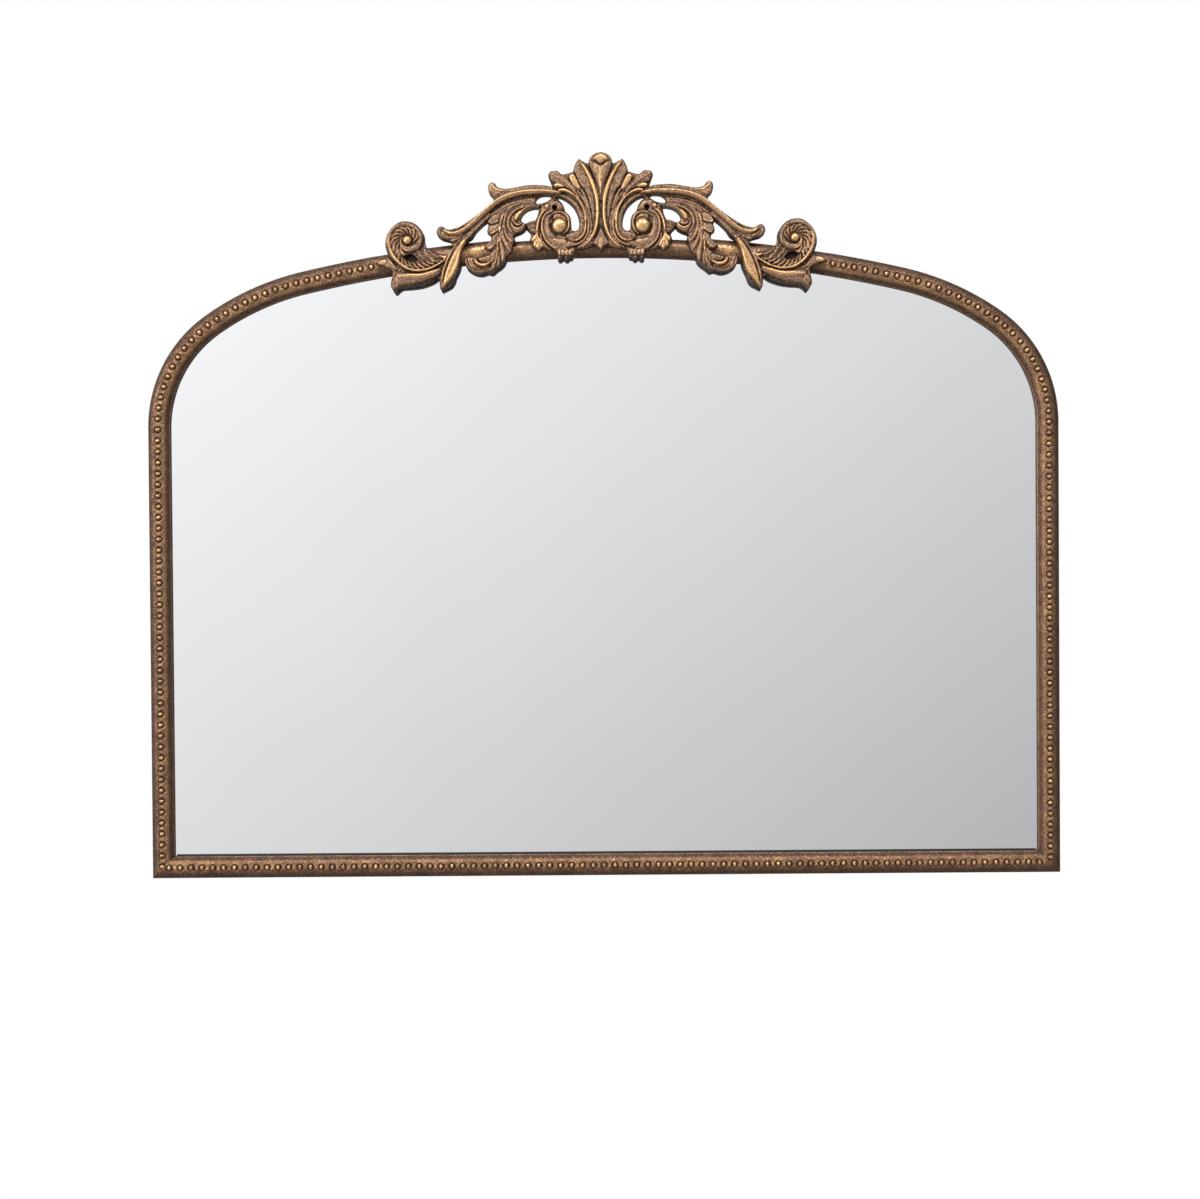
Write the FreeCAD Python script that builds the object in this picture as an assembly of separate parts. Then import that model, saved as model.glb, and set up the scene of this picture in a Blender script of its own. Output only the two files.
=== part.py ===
# Arched wall mirror: a beaded steel frame with a cast crest, a mirror plate, its backing and its hangers.
# The origin lies on the wall plane, midway between the two hanging rings, at the height of their bars.
# X runs along the width, Y points into the wall and Z points up. All lengths are in millimetres.
import FreeCAD, Part
import math
import os

# Outline of the frame
frame_width = 914.0
springing_height = 453.0
shoulder_radius = 137.5
haunch_radius = 277.0
shoulder_turn_deg = 55.0
haunch_turn_deg = 22.0

# Roll-formed moulding
moulding_width = 22.0
moulding_depth = 25.0
sheet_thickness = 1.2
land_width = 7.0
outer_wall_depth = 15.0
dome_steps = 3
hidden_dome_steps = 2
inner_wall_depth = 18.0
hem_width = 5.0

# Beads pressed along the land
bead_pitch = 10.95
bead_height = 2.4
bead_sides = 6

# Plain bar under the crest
top_bar_half_length = 226.0
top_bar_width = 19.2

# Mirror plate and backing
glass_thickness = 4.0
glass_overlap = 6.0
foam_thickness = 1.0
board_thickness = 5.0
board_side_gap = 1.0
back_recess = 5.0
foam_strip_width = 30.0
foam_strip_length = 300.0
foam_strip_spacing = 230.0
lip_gap = 0.8

# Black strip that the plate stands on
setting_strip_thickness = 1.4
setting_strip_rise = 1.8
setting_strip_inset = 2.0

# Corner angles and splices behind the joints of the moulding
angle_leg = 45.0
angle_width = 6.4
angle_thickness = 1.5
splice_length = 60.0
splice_width = 4.4
splice_thickness = 1.5

# Tabs that hold the board
tab_width = 14.0
tab_reach = 11.0
tab_thickness = 1.0
tab_gap = 0.1
bottom_tab_offset = 300.0
side_tab_heights = (120.0, 330.0)

# Crest casting
crest_half_width = 223.92
crest_datum_drop = 25.5
crest_back_depth = 17.5
crest_ground_depth = 27.5
crest_relief = 9.0
crest_seat_clearance = 0.3
ground_bite = 0.6
ground_bite_step = 0.04
shoulder_share = 0.4
low_rise_share = 0.94
boss_sides = 8
boss_shares = ((1.0, -1.0), (1.0, 0.4), (0.6, 1.0))

# The crest is drawn on the left half of a picture: its axis, its tip and the line level with its datum
crest_axis_px = 600.5
crest_datum_py = 257.0
crest_tip_px = 375.5
picture_lean_share = 0.00733

# Outline of the crest's left half, from the top of its axis round to the bottom, in pixels
crest_outline_px = [
    (600.5, 152.5), (594, 154.5), (590, 159), (589, 166), (587, 164), (583, 161.5), (579, 159),
    (576, 163), (574, 168), (573, 172), (566, 174), (562, 174.5), (557, 171), (551, 171.5), (549.5, 176),
    (552, 184), (552, 187), (545, 185.5), (530, 185), (515, 187.5), (508, 188.5), (503, 188.5), (497, 186),
    (492, 182), (489, 187), (489, 193), (493, 198), (495, 200.5), (485, 209), (475, 216.5), (462, 225),
    (452, 228.5), (447, 229), (441, 226), (437.5, 230), (438, 236), (443, 240.5), (451, 243), (453, 247),
    (449, 255), (440, 253), (430, 249), (425.5, 243), (424.5, 234), (419, 226), (411, 221.5), (401, 221.5),
    (391.5, 227), (386, 236), (385.5, 246), (389, 257), (383, 258), (375.5, 263), (379, 267), (387, 270.5),
    (393, 272.5), (391.5, 280), (391.5, 288), (396.5, 294.5), (400, 290), (410, 289), (420, 287.5),
    (430, 284), (437, 280), (440, 281), (441, 291.5), (449, 283.5), (455, 277), (459, 268), (461, 258),
    (463, 250), (467, 243), (472, 239), (476, 233), (482, 227), (487, 223.5), (488, 228), (488, 235),
    (491, 241), (484, 247), (489, 252), (489, 262), (486, 265.5), (480, 266), (476, 263), (474, 258),
    (470, 256.5), (465.5, 258), (465, 264), (468, 270), (474, 275), (481, 276.5), (487, 274.5), (492, 275),
    (497, 270.5), (505, 263), (511, 254), (514, 243), (515.5, 237), (520, 234.5), (524, 232), (526, 229.5),
    (529, 232), (531, 235), (530, 241), (533, 246), (538, 249.5), (544, 247.5), (550, 251), (557, 253),
    (556.5, 259), (559.5, 262.5), (563, 260), (566.5, 262.5), (569, 260), (572, 259.5), (575, 251),
    (583, 251), (590, 248.5), (594, 247.5), (600.5, 252),
]
crest_openings_px = [
    [(521, 218), (523, 212), (531, 209), (538.5, 208.5), (538, 214), (535.5, 220), (529, 222), (523, 223)],
    [(536, 200), (541, 197), (549, 196.5), (552, 198), (546, 202), (537, 204)],
    [(556, 198), (565, 201), (573, 207), (579, 216), (580, 225), (575, 231.5), (570.5, 228),
     (570, 219), (566, 212), (562, 205)],
    [(406, 257), (412, 254.5), (417, 257), (412, 260)],
]

# Scrolls and leaves: what each is, its rise as a share of the relief, its stations as (px, py, half width)
crest_ridges_px = [
    ("stem", 0.89, [
        (443, 231, 1.5), (452, 234, 3.5), (462, 231.5, 4.5), (472, 225, 5), (482, 216, 5), (492, 207, 4.5),
        (502, 199, 4.5), (515, 193, 4.5), (532, 190.5, 5), (550, 191, 4.5), (566, 193, 3.5), (576, 201, 3.5),
        (583, 212, 3.5), (584.5, 225, 3.5), (580, 237, 4), (571, 244.5, 3.5), (560, 247, 3.5),
        (549, 243, 3.5), (542.5, 233, 3.5), (543, 221, 3.5), (550, 213.5, 3), (560, 214, 2.5), (566, 221, 2),
    ]),
    ("outer volute", 0.78, [
        (446, 260, 2.5), (434, 262.5, 4.5), (420, 264, 4.5), (405, 262.5, 4.5), (394.5, 254.5, 4.5),
        (390, 243, 4), (393, 231.5, 4), (402, 225.5, 3.5), (412, 227, 3.5), (419, 234, 3.5),
        (419, 243, 3), (412, 249.5, 2.5), (404, 248, 2),
    ]),
    ("end leaf", 0.44, [(377, 263.3, 0.8), (383, 263, 3.5), (389, 264, 4.5), (395, 268, 3)]),
    ("fishtail", 0.67, [
        (395.5, 291, 1.5), (397, 283, 4), (405, 280, 5.5), (416, 279.5, 5.5), (428, 276, 5), (439, 269, 4),
    ]),
    ("spear", 1.0, [
        (441.5, 290, 0.6), (446, 282, 3), (451, 274.5, 5), (455, 267, 6), (457.5, 259, 6), (460.5, 251, 5.5),
        (464.5, 243.5, 4), (470, 236, 2),
    ]),
    ("lower horn", 0.5, [(441, 227.5, 0.7), (440, 232.5, 1.8), (444, 237.5, 2.2), (452, 240, 2), (460, 239, 1)]),
    ("upper horn", 0.5, [(492, 183.5, 0.7), (493.5, 189.5, 2.5), (501, 192, 2.5), (511, 190.5, 1)]),
    ("acanthus", 1.0, [
        (504, 212, 2), (501, 222, 5), (500, 233, 7.5), (499.5, 244, 8), (498, 255, 7.5), (495.5, 265, 4.5),
        (492.5, 273, 0.7),
    ]),
    ("acanthus lobe", 0.44, [(489.5, 246.5, 1), (494, 243.5, 3), (500, 240, 3)]),
    ("lower curl", 0.61, [
        (468, 259, 1.5), (468.5, 265, 2.8), (473.5, 270.5, 3.8), (481, 271.5, 4.3), (488, 268, 4), (494, 262, 3),
    ]),
    ("upper band", 0.5, [(505, 216, 1.2), (511, 206.5, 2.2), (521, 201.5, 2.5), (532, 200.5, 2.2), (537, 206, 1.2)]),
    ("upper curl", 0.56, [
        (521, 210.5, 1.2), (516, 214.5, 2.5), (514, 221.5, 3), (516.5, 228, 2.8), (522, 228, 1.8),
    ]),
    ("round leaf", 0.56, [(541, 210, 1.2), (546, 205, 2.5), (553, 204, 3.2), (560, 207.5, 2.5), (565, 214, 1.2)]),
    ("side leaf", 0.44, [(531, 241.5, 1), (534.5, 240.5, 2.5), (541, 240, 3)]),
    ("side lobe", 0.44, [(530, 226, 1), (534, 226, 2.5), (541, 226, 3)]),
    ("tassel", 0.5, [(565, 261, 1.5), (565.5, 254, 6.5), (566, 246, 5)]),
    ("big leaf", 0.83, [
        (579, 161, 0.8), (581, 170, 4), (585, 180, 5), (590, 191, 5.5), (593.5, 203, 5), (595, 216, 4.5),
        (593.5, 229, 4.5), (588, 240, 4.5), (578, 246.5, 3),
    ]),
    ("second leaf", 0.56, [(569, 175.5, 1.5), (573, 184, 4), (579, 194, 4.5), (586, 206, 4)]),
    ("outer leaf", 0.61, [(551, 173.5, 1.5), (557, 179, 5), (565, 186.5, 5), (573, 195, 4)]),
    ("axis", 1.0, [
        (600.5, 200, 0.8), (600.5, 188, 4), (600.5, 176, 8), (600.5, 166, 10.5), (600.5, 158, 9.5),
        (600.5, 153.2, 4),
    ]),
    ("axis", 0.67, [(600.5, 222, 0.8), (600.5, 234, 4.5), (600.5, 243, 5.5), (600.5, 250.5, 2)]),
]
crest_bosses_px = [(407, 239, 5, 0.89), (558, 226.5, 6, 1.0)]

# Crest screws
crest_screw_offsets = (40.0, 101.0, 152.0)
crest_screw_radius = 1.75
crest_screw_head_radius = 3.3
crest_screw_head_height = 2.0
crest_screw_bite = 4.5
screw_clearance = 0.05

# Hangers
hanger_spacing = 560.0
hang_height = 480.0
strap_width = 13.0
strap_length = 40.0
strap_thickness = 0.8
ring_wire_radius = 1.25
ring_half_width = 9.5
ring_side_length = 4.0
ring_corner_radius = 2.6
ring_wire_sides = 8
ring_corner_steps = 2
ring_bow_steps = 8
ring_clearance = 0.3
loop_width = 10.0
loop_clearance = 0.08
strap_screw_radius = 1.5
strap_screw_head_radius = 3.0
strap_screw_head_height = 1.5
strap_screw_bite = 4.5
strap_first_screw_drop = 23.0
strap_screw_pitch = 11.0

# Rubber bumpers
bumper_radius = 7.0
bumper_side_gap = 45.0
bumper_bottom_gap = 45.0

overrun = 5.0
flatness_share = 1e-7
rod_sides = 8

# Derived sizes of the outline
half_width = frame_width / 2
full_turn_deg = 360.0
quarter_turn_deg = full_turn_deg / 4
shoulder_centre = (half_width - shoulder_radius, springing_height)
haunch_start = math.radians(shoulder_turn_deg)
haunch_end = math.radians(shoulder_turn_deg + haunch_turn_deg)
haunch_centre = (
    shoulder_centre[0] - (haunch_radius - shoulder_radius) * math.cos(haunch_start),
    shoulder_centre[1] - (haunch_radius - shoulder_radius) * math.sin(haunch_start),
)
crown_radius = haunch_radius + haunch_centre[0] / math.cos(haunch_end)
crown_centre_height = haunch_centre[1] - (crown_radius - haunch_radius) * math.sin(haunch_end)
crown_height = crown_centre_height + crown_radius
crest_datum_height = crown_height - crest_datum_drop
crest_px_size = crest_half_width / (crest_axis_px - crest_tip_px)

# Derived depths, measured forward from the wall
board_back = back_recess
board_front = board_back + board_thickness
glass_back = board_front + foam_thickness
glass_front = glass_back + glass_thickness
lip_depth = glass_front + lip_gap
glass_inset = moulding_width - glass_overlap
land_start = (moulding_width - land_width) / 2
land_end = land_start + land_width
bar_axis_depth = board_back - strap_thickness - ring_clearance - ring_wire_radius


def point(x, depth, height):
    """A point at x, so far forward from the wall and so far above the bottom edge."""
    return FreeCAD.Vector(x, -depth, height - hang_height)


def face_of(points):
    return Part.Face(Part.makePolygon(points + points[:1]))


def is_flat(corners):
    """Whether four corners lie in one plane."""
    first, second, third, fourth = corners
    normal = (second - first).cross(third - first)
    return abs(normal.dot(fourth - first)) < flatness_share * normal.Length * (fourth - first).Length


def solid_of(sections):
    """A closed solid from a row of sections with equal counts of points, with flat faces."""
    faces = [face_of(sections[0]), face_of(sections[-1])]
    for near, far in zip(sections, sections[1:]):
        for i in range(len(near)):
            j = (i + 1) % len(near)
            quad = [near[i], near[j], far[j], far[i]]
            if is_flat(quad):
                faces.append(face_of(quad))
            else:
                faces += [face_of(quad[:3]), face_of([quad[0], quad[2], quad[3]])]
    solid = Part.Solid(Part.Shell(faces))
    return solid if solid.Volume > 0 else solid.reversed()


def box_between(low, high):
    """A box from its low corner to its high one, each (x, depth, height)."""
    corner = point(low[0], high[1], low[2])
    sizes = [high[i] - low[i] for i in range(3)]
    return Part.makeBox(*sizes, corner)


def rod(radius, x, height, depth_from, depth_to):
    """A faceted rod along the depth, with its corners on the radius."""
    corners = []
    for i in range(rod_sides):
        turn = 2 * math.pi * (i + 1 / 2) / rod_sides
        corners.append(point(x + radius * math.cos(turn), depth_from, height + radius * math.sin(turn)))
    return face_of(corners).extrude(FreeCAD.Vector(0, depth_from - depth_to, 0))


def hole(radius, x, height, depth_from, depth_to):
    """A faceted rod along the depth, with its flats on the radius, to cut a hole that clears a rod."""
    return rod(radius / math.cos(math.pi / rod_sides), x, height, depth_from, depth_to)


def mirrored(shape):
    return shape.mirror(FreeCAD.Vector(0, 0, 0), FreeCAD.Vector(1, 0, 0))


def arch_wire(inset, depth):
    """The frame's outline, moved inwards by inset, as a closed wire."""
    def right(x, z):
        return point(x, depth, z)

    def left(x, z):
        return point(-x, depth, z)

    def on_arc(centre, radius, angle):
        return centre[0] + radius * math.cos(angle), centre[1] + radius * math.sin(angle)

    corner = (half_width - inset, inset)
    spring = (half_width - inset, springing_height)
    shoulder = [on_arc(shoulder_centre, shoulder_radius - inset, a) for a in (haunch_start / 2, haunch_start)]
    middle = (haunch_start + haunch_end) / 2
    haunch = [on_arc(haunch_centre, haunch_radius - inset, a) for a in (middle, haunch_end)]
    top = point(0, depth, crown_height - inset)
    edges = [Part.LineSegment(left(*corner), right(*corner))]
    edges.append(Part.LineSegment(right(*corner), right(*spring)))
    edges.append(Part.Arc(right(*spring), right(*shoulder[0]), right(*shoulder[1])))
    edges.append(Part.Arc(right(*shoulder[1]), right(*haunch[0]), right(*haunch[1])))
    edges.append(Part.Arc(right(*haunch[1]), top, left(*haunch[1])))
    edges.append(Part.Arc(left(*haunch[1]), left(*haunch[0]), left(*shoulder[1])))
    edges.append(Part.Arc(left(*shoulder[1]), left(*shoulder[0]), left(*spring)))
    edges.append(Part.LineSegment(left(*spring), left(*corner)))
    return Part.Wire([edge.toShape() for edge in edges])


def arch_plate(inset, depth_from, depth_to):
    """A plate of the frame's outline, moved inwards, between two depths."""
    face = Part.Face(arch_wire(inset, depth_from))
    return face.extrude(FreeCAD.Vector(0, depth_from - depth_to, 0))


def dome_points(place, edge, way, foot_depth, wall, steps):
    """Quarter-round from a wall's front end up to the land, wall inside the outer face; way points across."""
    rise = moulding_depth - foot_depth
    radius = (land_start ** 2 + rise ** 2) / (2 * land_start)
    end = math.asin((rise - wall) / (radius - wall))
    points = []
    for i in range(steps + 1):
        angle = end * i / steps
        across = edge + way * (radius - (radius - wall) * math.cos(angle))
        points.append(place(across, foot_depth + (radius - wall) * math.sin(angle)))
    return points


def front_points(place, wall, steps):
    """The moulding's front from its outer wall over the land to its inner wall, wall inside the outer face."""
    outer = dome_points(place, 0.0, 1, outer_wall_depth, wall, steps)
    inner = dome_points(place, moulding_width, -1, inner_wall_depth, wall, steps)
    return outer + inner[::-1]


def moulding_section(place):
    """Cross-section of the moulding; place(across, depth) gives a point, across being from the outer edge."""
    lip = [place(moulding_width, lip_depth), place(moulding_width - sheet_thickness, lip_depth)]
    hem = [
        place(sheet_thickness, sheet_thickness),
        place(hem_width, sheet_thickness),
        place(hem_width, 0.0),
        place(0.0, 0.0),
    ]
    inside = front_points(place, sheet_thickness, hidden_dome_steps)
    return face_of(front_points(place, 0.0, dome_steps) + lip + inside[::-1] + hem)


def filled_section(place, grow):
    """The moulding's outer shape with no hollow, grown by a clearance, to cut seats with."""
    def grown(across, depth):
        middle = moulding_width / 2
        return place(across + (across - middle) / middle * grow, depth + grow)

    back = [place(moulding_width + grow, 0.0), place(-grow, 0.0)]
    return face_of(front_points(grown, 0.0, dome_steps) + back)


def swept_arc(section, centre, radius, angle_from, angle_to):
    """A section turned round one arc centre of the outline, between two angles from the horizontal."""
    def place(across, depth):
        reach = radius - across
        x = centre[0] + reach * math.cos(angle_from)
        z = centre[1] + reach * math.sin(angle_from)
        return point(x, depth, z)

    axis_point = point(centre[0], 0.0, centre[1])
    turn = math.degrees(angle_to - angle_from)
    return section(place).revolve(axis_point, FreeCAD.Vector(0, -1, 0), turn)


def crown_angle(x):
    """Angle, from the horizontal, at which the crown's outer arc is x from the middle."""
    return math.acos(x / crown_radius)


def bead(x, height):
    """One bead on the land, as a faceted cone with its foot in the sheet."""
    radius = land_width / 2
    foot = []
    for i in range(bead_sides):
        turn = 2 * math.pi * i / bead_sides
        foot.append(point(x + radius * math.cos(turn), moulding_depth - sheet_thickness / 2,
                          height + radius * math.sin(turn)))
    top = point(x, moulding_depth + bead_height, height)
    faces = [face_of([foot[i - 1], foot[i], top]) for i in range(bead_sides)]
    bead_solid = Part.Solid(Part.Shell(faces + [face_of(foot)]))
    return bead_solid if bead_solid.Volume > 0 else bead_solid.reversed()


def bead_places():
    """Places of the beads of the right-hand side moulding, from the corner up to the crest."""
    inset = moulding_width / 2
    places = []
    runs = [
        ("line", springing_height - inset),
        ("arc", shoulder_centre, shoulder_radius - inset, 0.0, haunch_start),
        ("arc", haunch_centre, haunch_radius - inset, haunch_start, haunch_end),
        ("arc", (0.0, crown_centre_height), crown_radius - inset, haunch_end, crown_angle(top_bar_half_length)),
    ]
    lengths = [r[1] if r[0] == "line" else r[2] * (r[4] - r[3]) for r in runs]
    count = int((sum(lengths) - bead_pitch) / bead_pitch)
    step = (sum(lengths) - bead_pitch) / count
    for i in range(count + 1):
        distance = bead_pitch / 2 + i * step
        for run, length in zip(runs, lengths):
            if distance <= length or run is runs[-1]:
                break
            distance -= length
        if run[0] == "line":
            places.append((half_width - inset, inset + distance))
        else:
            angle = run[3] + distance / run[2]
            places.append((run[1][0] + run[2] * math.cos(angle), run[1][1] + run[2] * math.sin(angle)))
    return places


def mitre_wedge(side):
    """Half of the space round the right-hand bottom corner: the side's half or the rail's half."""
    reach = moulding_width + overrun
    inner = (half_width - reach, reach)
    outer = (half_width + overrun, -overrun)
    third = (half_width + overrun, reach) if side else (half_width - reach, -overrun)
    corners = [inner, outer, third]
    back = [point(x, -overrun, z) for x, z in corners]
    return face_of(back).extrude(FreeCAD.Vector(0, -(moulding_depth + bead_height + 2 * overrun), 0))


def side_moulding():
    """The right-hand beaded moulding: from the mitre up the side and over the shoulder to the crest."""
    def place(across, depth):
        return point(half_width - across, depth, 0.0)

    straight = moulding_section(place).extrude(FreeCAD.Vector(0, 0, springing_height))
    crown = (0.0, crown_centre_height)
    pieces = [
        swept_arc(moulding_section, shoulder_centre, shoulder_radius, 0.0, haunch_start),
        swept_arc(moulding_section, haunch_centre, haunch_radius, haunch_start, haunch_end),
        swept_arc(moulding_section, crown, crown_radius, haunch_end, crown_angle(top_bar_half_length)),
    ]
    pieces += [bead(*at) for at in bead_places()]
    body = straight.fuse(pieces)
    return body.cut(mitre_wedge(False)).removeSplitter()


def bottom_rail():
    """The beaded rail along the bottom, mitred at both ends."""
    def place(across, depth):
        return point(-half_width, depth, across)

    rail = moulding_section(place).extrude(FreeCAD.Vector(frame_width, 0, 0))
    inset = moulding_width / 2
    run = frame_width - 2 * moulding_width
    count = int(run / bead_pitch)
    step = run / count
    beads = [bead(-run / 2 + i * step, inset) for i in range(count + 1)]
    wedge = mitre_wedge(True)
    return rail.fuse(beads).cut([wedge, mirrored(wedge)]).removeSplitter()


def bar_place(place):
    """Fits the moulding's section into the plain bar's width, with the inner edges in line."""
    def fitted(across, depth):
        return place(moulding_width - (moulding_width - across) * top_bar_width / moulding_width, depth)
    return fitted


def top_bar():
    """The plain half-round bar behind the crest, between the two beaded mouldings."""
    start = crown_angle(top_bar_half_length)
    bar = swept_arc(lambda place: moulding_section(bar_place(place)), (0.0, crown_centre_height),
                    crown_radius, start, math.pi - start)
    return bar.cut(crest_screw_holes(moulding_depth + overrun))


def bar_inset():
    """Distance from the outline to the middle line of the plain bar."""
    return moulding_width - top_bar_width / 2


def crest_screw_places():
    """Places of the crest's screws, on the middle line of the plain bar."""
    radius = crown_radius - bar_inset()
    places = []
    for x in crest_screw_offsets:
        height = crown_centre_height + math.sqrt(radius ** 2 - x ** 2)
        places += [(-x, height), (x, height)]
    return places


def crest_screw_holes(depth_to):
    radius = crest_screw_radius + screw_clearance
    return [hole(radius, x, z, 0.0, depth_to) for x, z in crest_screw_places()]


def screws(places, seat_depth, direction, sizes):
    """Pan-head screws seated at a depth; direction is 1 where the tip points forward."""
    radius, head_radius, head_height, shank = sizes
    solids = []
    for x, z in places:
        ends = sorted((seat_depth, seat_depth + direction * shank))
        head_ends = sorted((seat_depth, seat_depth - direction * head_height))
        solids.append(rod(radius, x, z, *ends).fuse(rod(head_radius, x, z, *head_ends)))
    return Part.makeCompound(solids)


def splice(side):
    """Strip across the joint of the beaded moulding and the plain bar, inside the hollow."""
    def section(place):
        low = moulding_depth - sheet_thickness - splice_thickness
        middle = (land_start + land_end + moulding_width - top_bar_width) / 2
        corners = [(middle - splice_width / 2, low), (middle + splice_width / 2, low)]
        corners += [(a, low + splice_thickness) for a, _ in reversed(corners)]
        return face_of([place(a, d) for a, d in corners])

    joint = crown_angle(top_bar_half_length)
    turn = splice_length / 2 / crown_radius
    strip = swept_arc(section, (0.0, crown_centre_height), crown_radius, joint - turn, joint + turn)
    return strip if side > 0 else mirrored(strip)


def corner_angle():
    """Flat angle in the hollow of the right-hand bottom corner."""
    low = moulding_depth - sheet_thickness - angle_thickness
    near = (moulding_width - angle_width) / 2
    x, z = half_width - near, near
    corners = [
        (x, z), (x, z + angle_leg), (x - angle_width, z + angle_leg), (x - angle_width, z + angle_width),
        (x - angle_leg, z + angle_width), (x - angle_leg, z),
    ]
    face = face_of([point(a, low, b) for a, b in corners])
    return face.extrude(FreeCAD.Vector(0, -angle_thickness, 0))


def board_tab(x, height, turn_deg):
    """A bent tab: its leg lies on the outer wall, its foot behind the board. Turned about its place."""
    leg_from = sheet_thickness + tab_gap
    foot_front = board_back - tab_gap
    foot_back = foot_front - tab_thickness
    leg = Part.makeBox(tab_width, board_front - foot_back, tab_thickness,
                       FreeCAD.Vector(-tab_width / 2, -board_front, leg_from))
    foot = Part.makeBox(tab_width, tab_thickness, tab_reach, FreeCAD.Vector(-tab_width / 2, -foot_front, leg_from))
    tab = leg.fuse(foot).removeSplitter()
    tab.rotate(FreeCAD.Vector(0, 0, 0), FreeCAD.Vector(0, -1, 0), turn_deg)
    tab.translate(point(x, 0.0, height))
    return tab


def board_tabs():
    """All the tabs round the frame, with their legs on the outer walls."""
    tabs = [board_tab(x, 0.0, 0.0) for x in (-bottom_tab_offset, 0.0, bottom_tab_offset)]
    for height in side_tab_heights:
        tabs.append(board_tab(half_width, height, quarter_turn_deg))
        tabs.append(board_tab(-half_width, height, -quarter_turn_deg))
    angle = (haunch_end + crown_angle(top_bar_half_length)) / 2
    x = crown_radius * math.cos(angle)
    height = crown_centre_height + crown_radius * math.sin(angle)
    turn = quarter_turn_deg + math.degrees(angle)
    tabs.append(board_tab(x, height, turn))
    tabs.append(board_tab(-x, height, -turn))
    return Part.makeCompound(tabs)


def mirror_plate():
    return arch_plate(glass_inset, glass_back, glass_front)


def foam_strip(x):
    middle = (glass_inset + springing_height) / 2
    low = (x - foam_strip_width / 2, board_front, middle - foam_strip_length / 2)
    high = (x + foam_strip_width / 2, glass_back, middle + foam_strip_length / 2)
    return box_between(low, high)


def backing_board():
    board = arch_plate(hem_width + board_side_gap, board_back, board_front)
    depth = board_back + strap_screw_bite + screw_clearance
    holes = [hole(strap_screw_radius + screw_clearance, x, z, 0.0, depth)
             for side in (-1, 1) for x, z in strap_screw_places(side)]
    return board.cut(holes)


def setting_strip():
    """Rubber strip under the plate's bottom edge, with its lip standing between plate and frame."""
    half = half_width - moulding_width - setting_strip_inset
    low = glass_inset - setting_strip_thickness
    foot = box_between((-half, glass_back, low), (half, lip_depth, glass_inset))
    lip = box_between((-half, glass_front, low), (half, lip_depth, moulding_width + setting_strip_rise))
    return foot.fuse(lip).removeSplitter()


def strap_screw_places(side):
    x = side * hanger_spacing / 2
    first = hang_height - strap_first_screw_drop
    return [(x, first), (x, first - strap_screw_pitch)]


def strap(side):
    """Strap hanger: a plate screwed to the board, rolled into a loop round the ring's bar."""
    x = side * hanger_spacing / 2
    plate = box_between((x - strap_width / 2, board_back - strap_thickness, hang_height - strap_length),
                        (x + strap_width / 2, board_back, hang_height))
    bore = ring_wire_radius + loop_clearance
    start = point(x - loop_width / 2, bar_axis_depth, hang_height)
    along = FreeCAD.Vector(1, 0, 0)
    loop = Part.makeCylinder(bore + strap_thickness, loop_width, start, along)
    inside = Part.makeCylinder(bore, loop_width, start, along)
    holes = [hole(strap_screw_radius + screw_clearance, a, z, 0.0, board_back + overrun)
             for a, z in strap_screw_places(side)]
    return plate.fuse(loop).cut([inside] + holes).removeSplitter()


def ring_stations():
    """Middle of the ring's wire from one end of its bar round the bow to the other, each with its angle."""
    flat = ring_half_width - ring_corner_radius
    bow_drop = ring_corner_radius + ring_side_length
    arcs = [
        (flat, -ring_corner_radius, ring_corner_radius, math.pi / 2, 0.0, ring_corner_steps),
        (0.0, -bow_drop, ring_half_width, 0.0, -math.pi, ring_bow_steps),
        (-flat, -ring_corner_radius, ring_corner_radius, -math.pi, -3 * math.pi / 2, ring_corner_steps),
    ]
    stations = []
    for x, rise, radius, start, end, steps in arcs:
        for i in range(steps + 1):
            angle = start + (end - start) * i / steps
            stations.append((x + radius * math.cos(angle), rise + radius * math.sin(angle), angle))
    return stations


def hanger_ring(side):
    """A D-ring: a straight bar through the strap's loop and a bow that hangs below it."""
    x = side * hanger_spacing / 2
    flat = ring_half_width - ring_corner_radius
    start = point(x - flat, bar_axis_depth, hang_height)
    bar = Part.makeCylinder(ring_wire_radius, 2 * flat, start, FreeCAD.Vector(1, 0, 0))
    sections = []
    for out, rise, angle in ring_stations():
        section = []
        for i in range(ring_wire_sides):
            turn = 2 * math.pi * (i + 1 / 2) / ring_wire_sides
            reach = ring_wire_radius * math.cos(turn)
            depth = bar_axis_depth + ring_wire_radius * math.sin(turn)
            section.append(point(x + out + reach * math.cos(angle), depth,
                                 hang_height + rise + reach * math.sin(angle)))
        sections.append(section)
    return bar.fuse(solid_of(sections)).removeSplitter()


def bumper(side):
    x = side * (half_width - bumper_side_gap)
    return rod(bumper_radius, x, bumper_bottom_gap, 0.0, board_back)


def crest_point(px, py, depth):
    """Place of a point of the crest, read off the picture's left half, at a depth."""
    out = crest_axis_px - px
    rise = crest_datum_py - py + out * picture_lean_share
    return point(-out * crest_px_size, depth, crest_datum_height + rise * crest_px_size)


def picture_outline(points_px, depth):
    return [crest_point(px, py, depth) for px, py in points_px]


def crest_ground():
    """The crest's pierced ground: the whole outline, cut through at its openings."""
    left = picture_outline(crest_outline_px, crest_back_depth)
    right = [FreeCAD.Vector(-p.x, p.y, p.z) for p in reversed(left) if abs(p.x) > crest_seat_clearance]
    forward = FreeCAD.Vector(0, crest_back_depth - crest_ground_depth, 0)
    ground = face_of(left + right).extrude(forward)
    holes = []
    for opening in crest_openings_px:
        hole = face_of(picture_outline(opening, crest_back_depth)).extrude(forward)
        holes += [hole, mirrored(hole)]
    return ground.cut(holes)


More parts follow.
